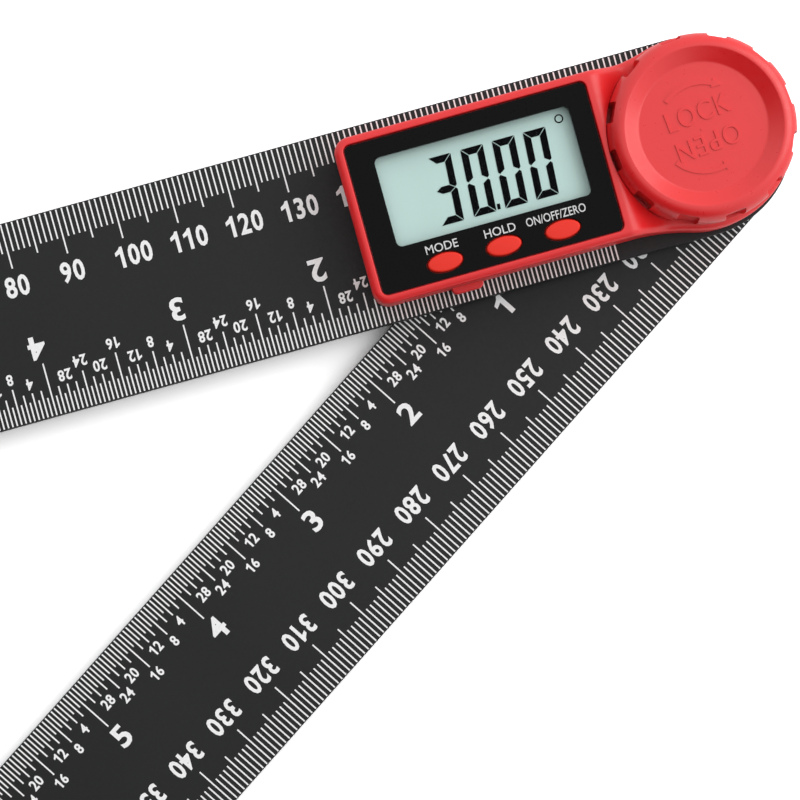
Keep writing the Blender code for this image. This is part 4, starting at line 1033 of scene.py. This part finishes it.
def flatted_rod(radius, flat, low, high):
    """A round rod with a flat on each side, square to Y."""
    bm = drum(radius, low, high)
    for side in (-1, 1):
        cut = bmesh.ops.bisect_plane(bm, geom=bm.verts[:] + bm.edges[:] + bm.faces[:],
                                     plane_co=(0, side * flat, 0), plane_no=(0, side, 0),
                                     clear_outer=True)
        rim = [item for item in cut["geom_cut"] if isinstance(item, bmesh.types.BMEdge)]
        bmesh.ops.contextual_create(bm, geom=rim)
    return bm


def on_panel_rim(edge):
    """Tests for the top edge of the recess that holds the front panel."""
    low, high = PANEL_LOW, PANEL_HIGH
    reach = PANEL_GAP + WELD
    inside = all(low.x - reach < vert.co.x < high.x + reach
                 and low.y - reach < vert.co.y < high.y + reach for vert in edge.verts)
    return inside and sharp_at(BLOCK_TOP)(edge)


class FINDER_OT_housing(bpy.types.Operator):
    """Shape the housing with its slope, head, recesses and screw bosses"""
    bl_idname = "finder.housing"
    bl_label = "Housing"

    def execute(self, context):
        made = finishes()
        shell = bevelled(housing_plate(0, BASE, BLOCK_TOP), sharp_at(BLOCK_TOP), TOP_EDGE, 6)
        for step in range(SLOPE_STEPS + 1):
            place = (SLOPE_START + SLOPE_LENGTH * step / SLOPE_STEPS, 0, 0)
            bmesh.ops.bisect_plane(shell, geom=shell.verts[:] + shell.edges[:] + shell.faces[:],
                                   plane_co=place, plane_no=(1, 0, 0), dist=WELD)
        for vert in shell.verts:
            if vert.co.z > BASE + OVERRUN:
                vert.co.z -= slope_drop(vert.co.x)
        obj = piece("housing_shell", shell, made["moulded red"], "front")
        self.hollow(obj)
        self.open(obj)
        bevel_object(obj, on_panel_rim, RIM_EDGE)
        settled(obj, "housing")
        return {"FINISHED"}

    def hollow(self, obj):
        """Hollows the block and the head, and adds the bosses and the ribs beside the tray."""
        below = BASE - OVERRUN
        combined(obj, housing_plate(WALL, below, HEAD_UNDERSIDE))
        combined(obj, box(bmesh.new(), (INNER_LEFT, -INNER_HALF, below),
                          (PANEL_HIGH.x - WALL / 2, INNER_HALF, ROOF_UNDERSIDE)))
        bottom = BASE + PANEL_GAP
        bosses, pilots, ribs = bmesh.new(), bmesh.new(), bmesh.new()
        for screw in HOUSING_SCREWS:
            x, y = middle(screw)
            roof = HEAD_UNDERSIDE if x > 0 else ROOF_UNDERSIDE
            add(bosses, drum(BOSS_RADIUS, bottom, roof + BEDDING, 24, x, y))
            add(pilots, drum(SHANK_RADIUS + GAP, below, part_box(screw)[1].z + GAP, 20, x, y))
        for left in (TRAY_HIGH.x + 0.00025, TRAY_LOW.x - 0.00125):
            box(ribs, (left, -INNER_HALF - BEDDING, bottom),
                (left + 0.0010, INNER_HALF + BEDDING, CELL_HIGH.z))
        combined(obj, bosses, "UNION")
        combined(obj, ribs, "UNION")
        combined(obj, pilots)

    def open(self, obj):
        """Cuts the panel's recess, the window, the buttons, the tray's mouth and the pocket."""
        above = BLOCK_TOP + OVERRUN
        half = PANEL_HIGH.y + PANEL_GAP
        combined(obj, rounded_plate(PANEL_LOW.x - PANEL_GAP, PANEL_HIGH.x + PANEL_GAP, -half,
                                    half, PANEL_CORNER, ROOF_TOP, above))
        low, high = DISPLAY_LOW, DISPLAY_HIGH
        combined(obj, rounded_plate(low.x - GAP, high.x + GAP, low.y - GAP, high.y + GAP,
                                    WINDOW_CORNER, low.z - GAP, above))
        seats, holes = bmesh.new(), bmesh.new()
        for node, _ in BUTTONS:
            low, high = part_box(node)
            spare = Vector((GAP, GAP, 0))
            add(seats, oval(low - spare, high + spare, ROOF_TOP - 0.0011, above, 48))
            add(holes, drum(0.0014, ROOF_UNDERSIDE - OVERRUN, above, 24, *middle(node)))
        combined(obj, seats)
        combined(obj, holes)
        combined(obj, box(bmesh.new(),
                          (TRAY_LOW.x - 0.00025, -BLOCK_HALF - OVERRUN, BASE - OVERRUN),
                          (TRAY_HIGH.x + 0.00025, OVERRUN / 2 - INNER_HALF, CELL_HIGH.z + GAP)))
        combined(obj, drum(KNOB_POCKET, HEAD_TOP + BEDDING, above, 144))
        combined(obj, flatted_rod(STUD_RADIUS + GAP, STUD_FLAT + GAP, HEAD_UNDERSIDE - OVERRUN,
                                  HEAD_TOP + OVERRUN))


# Battery tray and its cell

class FINDER_OT_battery(bpy.types.Operator):
    """Shape the battery tray with its nail tab, and the coin cell"""
    bl_idname = "finder.battery"
    bl_label = "Battery Tray and Cell"

    def execute(self, context):
        made = finishes()
        x, y = middle("coin_cell")
        bm = box(bmesh.new(), (TRAY_LOW.x, -BLOCK_HALF, TRAY_LOW.z), TRAY_HIGH)
        bevelled(bm, lambda edge: min(vert.co.y for vert in edge.verts) < WELD - BLOCK_HALF
                 and abs(edge.verts[0].co.z - edge.verts[1].co.z) > WELD, BEDDING, 2)
        obj = piece("tray_body", bm, made["moulded red"], "tray")
        tab = rounded_plate(x - 0.00285, x + 0.00285, TRAY_LOW.y, 0.0010 - BLOCK_HALF, 0.0010,
                            TRAY_LOW.z, TRAY_LOW.z + 0.0022)
        bevelled(tab, sharp_at(TRAY_LOW.z + 0.0022), GAP, 3)
        combined(obj, tab, "UNION")
        radius = CELL_HIGH.x - x
        seat = CELL_LOW.z - GAP
        combined(obj, drum(radius + GAP, seat, TRAY_HIGH.z + OVERRUN, 96, x, y))
        settled(obj, "battery_tray")

        low, high = CELL_LOW.z, CELL_HIGH.z
        shoulder, cap = high - 0.0004, radius - 0.0012
        can = spun([(0, low), *arc(radius - GAP, low + GAP, GAP, GAP, -QUARTER, 0, 4),
                    *arc(radius - GAP, shoulder - GAP, GAP, GAP, 0, QUARTER, 4),
                    (cap, shoulder), (cap - BEDDING, shoulder - BEDDING),
                    (cap - GAP, shoulder - BEDDING),
                    *arc(cap - GAP - BEDDING, high - BEDDING, BEDDING, BEDDING, 0, QUARTER, 2),
                    (0, high)], 96, x, y)
        settled(piece("cell_can", can, made["cell steel"], "tray"), "coin_cell")
        return {"FINISHED"}


# Fasteners, hub and pivot stud

def cross_recess(obj, width, breadth, level, depth):
    """Cuts a cross into a screw's head, from below."""
    for turn in (0, QUARTER):
        slot = box(bmesh.new(), (-width / 2, -breadth / 2, level - OVERRUN),
                   (width / 2, breadth / 2, level + depth))
        for vert in slot.verts:
            if vert.co.z > level:
                vert.co.x *= 0.55
        combined(obj, turned(slot, turn))


def screw_shape(head, head_height, shank, length, pitch):
    """The mesh of a cross-head screw that stands on its head at z = 0."""
    core, edge = shank * 0.85, head * 0.2
    profile = [(0, 0), *arc(head - edge, edge, edge, edge, -QUARTER, 0, 4),
               (head, head_height), (core, head_height), (core, length - core),
               (core / 3, length), (0, length)]
    obj = piece("screw", spun(profile, 32), None, "front")
    combined(obj, screw_thread(core, shank - core, pitch, head_height + pitch / 2,
                               length - core), "UNION")
    cross_recess(obj, head * 1.1, head * 0.26, 0, head_height * 0.6)
    mesh = obj.data
    bpy.data.objects.remove(obj, do_unlink=True)
    return mesh


def screw_set(name, nodes, body, mesh, material):
    """One object with a screw at the place of each packed one, each turned its own way."""
    bm = bmesh.new()
    for order, node in enumerate(nodes):
        x, y = middle(node)
        add(bm, turned(copied(mesh), order * 1.1 + 0.4, x, y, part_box(node)[0].z))
    bpy.data.meshes.remove(mesh)
    settled(piece(name, bm, material, body), *nodes)


class FINDER_OT_fasteners(bpy.types.Operator):
    """Shape the screws that hold the housing and the hub"""
    bl_idname = "finder.fasteners"
    bl_label = "Screws"

    def execute(self, context):
        made = finishes()
        low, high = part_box("housing_screw_1")
        shape = screw_shape((high.x - low.x) / 2, SCREW_HEAD, SHANK_RADIUS, high.z - low.z, 0.0006)
        screw_set("housing_screws", HOUSING_SCREWS, "front", shape, made["screw steel"])
        low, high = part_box("hub_screw_1")
        shape = screw_shape((high.x - low.x) / 2, 0.0007, 0.0008, high.z - low.z, 0.0004)
        screw_set("hub_screws", HUB_SCREWS, "rear", shape, made["screw steel"])
        return {"FINISHED"}


class FINDER_OT_pivot(bpy.types.Operator):
    """Shape the hub of the rear arm, and the pivot stud with its thread"""
    bl_idname = "finder.pivot"
    bl_label = "Hub and Stud"

    def execute(self, context):
        made = finishes()
        head = STUD_HIGH.x
        flange, recess, bore = HUB_HIGH.x, head + GAP, STUD_RADIUS + GAP
        seat = STUD_HEAD + GAP
        profile = [(recess, BEDDING), (recess + BEDDING, 0),
                   *arc(flange - GAP, GAP, GAP, GAP, -QUARTER, 0, 3), (flange, HUB_FLANGE),
                   (HUB_SLEEVE, HUB_FLANGE), (HUB_SLEEVE, HUB_SHOULDER),
                   (HUB_SPIGOT, HUB_SHOULDER), (HUB_SPIGOT, HUB_HIGH.z - BEDDING),
                   (HUB_SPIGOT - BEDDING, HUB_HIGH.z), (bore + BEDDING, HUB_HIGH.z),
                   (bore, HUB_HIGH.z - BEDDING), (bore, seat), (recess, seat)]
        obj = piece("hub_body", spun(profile, 144), made["turned steel"], "rear")
        for screw in HUB_SCREWS:
            x, y = middle(screw)
            low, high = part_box(screw)
            combined(obj, drum((high.x - low.x) / 2 + GAP, low.z - OVERRUN, 0.00085, 32, x, y))
            combined(obj, drum(HUB_PILOT, low.z - OVERRUN, HUB_FLANGE + OVERRUN, 24, x, y))
        settled(obj, "pivot_hub")

        neck, top, core = STUD_NECK, STUD_HIGH.z, STUD_RADIUS * 0.9
        rod = spun(((0, neck - BEDDING), (core, neck - BEDDING), (core, top - GAP),
                    (core - GAP, top), (0, top)), 72)
        obj = piece("stud_body", rod, made["turned steel"], "front")
        combined(obj, screw_thread(core, STUD_RADIUS - core, THREAD_PITCH, neck + THREAD_PITCH,
                                   top - THREAD_PITCH * 0.6, 36), "UNION")
        for side in (-1, 1):
            near, far = sorted((side * STUD_FLAT, side * head))
            combined(obj, box(bmesh.new(), (-head, near, neck), (head, far, top + OVERRUN)))
        profile = [(0, 0), *arc(head - GAP, GAP, GAP, GAP, -QUARTER, 0, 3),
                   (head, STUD_HEAD), (STUD_RADIUS, STUD_HEAD), (STUD_RADIUS, neck), (0, neck)]
        combined(obj, spun(profile, 96), "UNION")
        settled(obj, "pivot_stud")
        return {"FINISHED"}


# Locking knob

def knob_profile():
    """From under the boss out to the skirt, over the broad shoulder and down into the dish."""
    low, top, outer = KNOB_LOW.z, KNOB_HIGH.z, KNOB_RADIUS
    under, inner = DISC_TOP - KNOB_WEB, KNOB_RADIUS - KNOB_RIM
    return [(0, NUT_LOW.z), (KNOB_BOSS, NUT_LOW.z), (KNOB_BOSS, under), (inner, under),
            (inner, low), (outer - GAP, low), (outer, low + DRAFT_HEIGHT),
            *arc(KNOB_CREST, top - SHOULDER_HEIGHT, outer - KNOB_CREST, SHOULDER_HEIGHT, 0,
                 QUARTER, 16),
            *arc(KNOB_CREST, top - LIP_RADIUS, LIP_RADIUS, LIP_RADIUS, QUARTER,
                 QUARTER + DISH_TILT, 4),
            *arc(outer - DISH_INSET, DISC_TOP + DISH_FILLET, DISH_FILLET, DISH_FILLET,
                 DISH_TILT - QUARTER, -QUARTER, 6), (0, DISC_TOP)]


def grip_edge(edge):
    """Tests for the sharp edges of the grip notches."""
    reach = [math.hypot(*vert.co.xy) for vert in edge.verts]
    return (min(reach) > KNOB_RADIUS - NOTCH_DEPTH - BEDDING
            and min(vert.co.z for vert in edge.verts) > KNOB_LOW.z + BEDDING
            and edge.calc_face_angle(0) > QUARTER / 2)


def arc_arrow(start, sweep, level):
    """A raised band round the pivot that ends in an arrowhead."""
    bm = bmesh.new()
    half = ARROW_WIDTH / 2
    corners = [bm.verts.new((ARROW_RADIUS + across, 0, up)) for across, up in
               ((-half, level - BEDDING), (half, level - BEDDING), (half, level + RAISED),
                (-half, level + RAISED))]
    face = bm.faces.new(corners)
    bmesh.ops.spin(bm, geom=[face], axis=(0, 0, 1), cent=(0, 0, 0), angle=sweep, steps=32)
    bmesh.ops.recalc_face_normals(bm, faces=bm.faces)
    side = math.copysign(1, sweep)
    tip = flat_form(((ARROW_RADIUS - ARROW_WIDTH, 0), (ARROW_RADIUS + ARROW_WIDTH, 0),
                     (ARROW_RADIUS, side * ARROW_WIDTH * 2)), level - BEDDING, RAISED + BEDDING)
    return turned(add(bm, turned(tip, sweep)), start)


class FINDER_OT_knob(bpy.types.Operator):
    """Shape the locking knob with its grips, words and arrows"""
    bl_idname = "finder.knob"
    bl_label = "Locking Knob"

    def execute(self, context):
        made = finishes()
        low, top, outer = KNOB_LOW.z, KNOB_HIGH.z, KNOB_RADIUS
        sides = context.scene.finder_sizes.facets
        obj = piece("knob_body", spun(knob_profile(), sides), made["knob red"], "knob")
        notches = bmesh.new()
        for number in range(NOTCHES):
            notch = box(bmesh.new(), (outer - NOTCH_DEPTH, -NOTCH_WIDTH / 2, low - OVERRUN),
                        (outer + OVERRUN, NOTCH_WIDTH / 2, top + OVERRUN))
            bevelled(notch, lambda edge: all(vert.co.x < outer for vert in edge.verts)
                     and edge.verts[0].co.y == edge.verts[1].co.y, NOTCH_DEPTH / 3, 4)
            add(notches, turned(notch, math.tau * number / NOTCHES))
        combined(obj, notches)
        combined(obj, drum(POCKET_CORNER, NUT_LOW.z - OVERRUN, NUT_HIGH.z + GAP, 6))
        combined(obj, drum(STUD_RADIUS + GAP, NUT_LOW.z, STUD_HIGH.z + GAP, 48))
        bevel_object(obj, grip_edge, GRIP_EDGE, 2)
        obj.data.transform(Matrix.Rotation(KNOB_TURN, 4, "Z"))
        settled(obj, "lock_knob")

        bm = bmesh.new()
        for words, x, y, turn in (("LOCK", -0.00006, 0.00259, 0),
                                  ("OPEN", -0.00005, -0.00284, math.pi)):
            shape = lettering(words, KNOB_WORD_HEIGHT, KNOB_WORD_WIDTH, 1.0, 0.004,
                              RAISED + BEDDING, 5, 1.15)
            place = Matrix.Translation((x, y, DISC_TOP - BEDDING))
            bevelled(shape, sharp_at(RAISED + BEDDING), BEDDING / 2, 1)
            add(bm, shape, place @ Matrix.Rotation(turn, 4, "Z"))
        for start, sweep in ((126.5, -68), (212.5, 66)):
            add(bm, arc_arrow(math.radians(start), math.radians(sweep), DISC_TOP))
        add(bm, drum(0.00016, DISC_TOP - BEDDING, DISC_TOP + BEDDING, 12, -0.00045, -0.00032))
        piece("knob_lettering", turned(bm, KNOB_TURN), made["knob red"], "knob")
        return {"FINISHED"}


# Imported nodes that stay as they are

NODE_FINISHES = {
    "clear lens": ("display_lens",),
    "display film": ("lcd_panel",),
    "striped rubber": ("contact_strip",),
    "circuit board": ("main_board",),
    "encoder board": ("encoder_stator", "encoder_rotor"),
    "black epoxy": ("chip", "board_link"),
    "spring steel": ("switch_dome_1", "switch_dome_2", "switch_dome_3", "battery_contact_minus",
                     "battery_contact_plus"),
    "turned steel": ("thrust_washer",),
    "screw steel": ("board_screw", "stator_screw_1", "stator_screw_2"),
    "nut brass": ("knob_nut",),
    "washer nylon": ("arm_washer",),
}


class FINDER_OT_nodes(bpy.types.Operator):
    """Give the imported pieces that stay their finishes"""
    bl_idname = "finder.nodes"
    bl_label = "Finishes of the Packed Pieces"

    def execute(self, context):
        made = finishes()
        for name, nodes in NODE_FINISHES.items():
            for node in nodes:
                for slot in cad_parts[node].material_slots:
                    slot.material = made[name]
        return {"FINISHED"}


# Stage

CAMERA_PLACE = (-0.0614, -0.0307)
CAMERA_TURN = math.radians(-15.45)
AIM = Vector((-0.06, -0.02, 0.0))
SKY_DARK_SIDE = (-0.80, -0.60, 0.0)
SKY_STOPS = ((0.60, 1.06), (0.80, 0.04))


def floor_finish():
    """A pale floor that the camera sees white, with the shadows kept."""
    material = bpy.data.materials.new("stage floor")
    material.use_nodes = True
    tree = material.node_tree
    shader = tree.nodes["Principled BSDF"]
    shader.inputs["Roughness"].default_value = 0.9
    shader.inputs["Specular IOR Level"].default_value = 0.0
    path = tree.nodes.new("ShaderNodeLightPath")
    mix = tree.nodes.new("ShaderNodeMix")
    mix.data_type = "RGBA"
    mix.inputs[6].default_value = (0.90, 0.90, 0.90, 1.0)
    mix.inputs[7].default_value = (1.6, 1.6, 1.6, 1.0)
    tree.links.new(path.outputs["Is Camera Ray"], mix.inputs[0])
    tree.links.new(mix.outputs[2], shader.inputs["Base Color"])
    return material


def studio_world():
    """A soft bright sky that is dark low down on one side."""
    world = bpy.data.worlds.new("studio")
    world.use_nodes = True
    tree = world.node_tree
    background = tree.nodes["Background"]
    background.inputs["Strength"].default_value = 1.0
    coords = tree.nodes.new("ShaderNodeTexCoord")
    towards = tree.nodes.new("ShaderNodeVectorMath")
    towards.operation = "DOT_PRODUCT"
    towards.inputs[1].default_value = SKY_DARK_SIDE
    spread = tree.nodes.new("ShaderNodeMapRange")
    spread.inputs["From Min"].default_value = -1.0
    ramp = tree.nodes.new("ShaderNodeValToRGB")
    stops = ramp.color_ramp.elements
    for stop, (position, level) in zip(stops, SKY_STOPS):
        stop.position = position
        stop.color = (level, level, level, 1)
    path = tree.nodes.new("ShaderNodeLightPath")
    mix = tree.nodes.new("ShaderNodeMix")
    mix.data_type = "RGBA"
    mix.inputs[7].default_value = (1.0, 1.0, 1.0, 1.0)
    tree.links.new(coords.outputs["Generated"], towards.inputs[0])
    tree.links.new(towards.outputs["Value"], spread.inputs["Value"])
    tree.links.new(spread.outputs["Result"], ramp.inputs[0])
    tree.links.new(ramp.outputs[0], mix.inputs[6])
    tree.links.new(path.outputs["Is Camera Ray"], mix.inputs[0])
    tree.links.new(mix.outputs[2], background.inputs["Color"])
    return world


class FINDER_OT_stage(bpy.types.Operator):
    """Set the camera, the lights and the floor"""
    bl_idname = "finder.stage"
    bl_label = "Stage"

    def execute(self, context):
        settings = context.scene.finder_stage
        context.scene.view_settings.view_transform = "Standard"
        context.scene.world = studio_world()
        data = bpy.data.cameras.new("camera")
        data.sensor_width, data.lens = 36.0, settings.lens
        data.clip_start, data.clip_end = 0.01, 10.0
        camera = bpy.data.objects.new("camera", data)
        camera.location = (*CAMERA_PLACE, ARM_TOP + settings.distance)
        camera.rotation_euler = (0, 0, CAMERA_TURN)
        context.scene.collection.objects.link(camera)
        context.scene.camera = camera

        bm = bmesh.new()
        bmesh.ops.create_grid(bm, x_segments=1, y_segments=1, size=3.0)
        bmesh.ops.translate(bm, verts=bm.verts, vec=(0, 0, -0.00002))
        mesh = bpy.data.meshes.new("floor")
        bm.to_mesh(mesh)
        bm.free()
        mesh.materials.append(floor_finish())
        floor = bpy.data.objects.new("floor", mesh)
        context.scene.collection.objects.link(floor)

        self.lamp("key", (0.40, 0.06, 0.32), 0.45, settings.key_light)
        return {"FINISHED"}

    def lamp(self, name, place, size, power):
        """A square soft light that looks at the object."""
        data = bpy.data.lights.new(name, "AREA")
        data.shape, data.size, data.energy = "SQUARE", size, power
        lamp = bpy.data.objects.new(name, data)
        lamp.location = place
        lamp.rotation_euler = (AIM - Vector(place)).to_track_quat("-Z", "Y").to_euler()
        bpy.context.scene.collection.objects.link(lamp)


OPERATORS = (FINDER_OT_stage, FINDER_OT_nodes, FINDER_OT_arms, FINDER_OT_front_scales,
             FINDER_OT_rear_scales,
             FINDER_OT_display, FINDER_OT_front_panel, FINDER_OT_buttons, FINDER_OT_housing,
             FINDER_OT_battery, FINDER_OT_fasteners, FINDER_OT_pivot, FINDER_OT_knob)
GROUPS = (("finder_sizes", FinderSizes), ("finder_colours", FinderColours),
          ("finder_stage", FinderStage))


class FINDER_PT_sidebar(bpy.types.Panel):
    """Lists the angle finder's operators and settings"""
    bl_idname = "FINDER_PT_sidebar"
    bl_label = "Angle Finder"
    bl_space_type = "VIEW_3D"
    bl_region_type = "UI"
    bl_category = "Angle Finder"

    def draw(self, context):
        for operator in OPERATORS:
            self.layout.operator(operator.bl_idname)
        for name, group in GROUPS:
            settings = getattr(context.scene, name)
            for prop in group.__annotations__:
                self.layout.prop(settings, prop)


def register():
    for name, group in GROUPS:
        bpy.utils.register_class(group)
        setattr(bpy.types.Scene, name, PointerProperty(type=group))
    for operator in OPERATORS:
        bpy.utils.register_class(operator)
    bpy.utils.register_class(FINDER_PT_sidebar)


def unregister():
    bpy.utils.unregister_class(FINDER_PT_sidebar)
    for operator in reversed(OPERATORS):
        bpy.utils.unregister_class(operator)
    for name, group in reversed(GROUPS):
        delattr(bpy.types.Scene, name)
        bpy.utils.unregister_class(group)


def main():
    register()
    for operator in OPERATORS:
        area, name = operator.bl_idname.split(".")
        getattr(getattr(bpy.ops, area), name)()


if __name__ == "__main__":
    main()
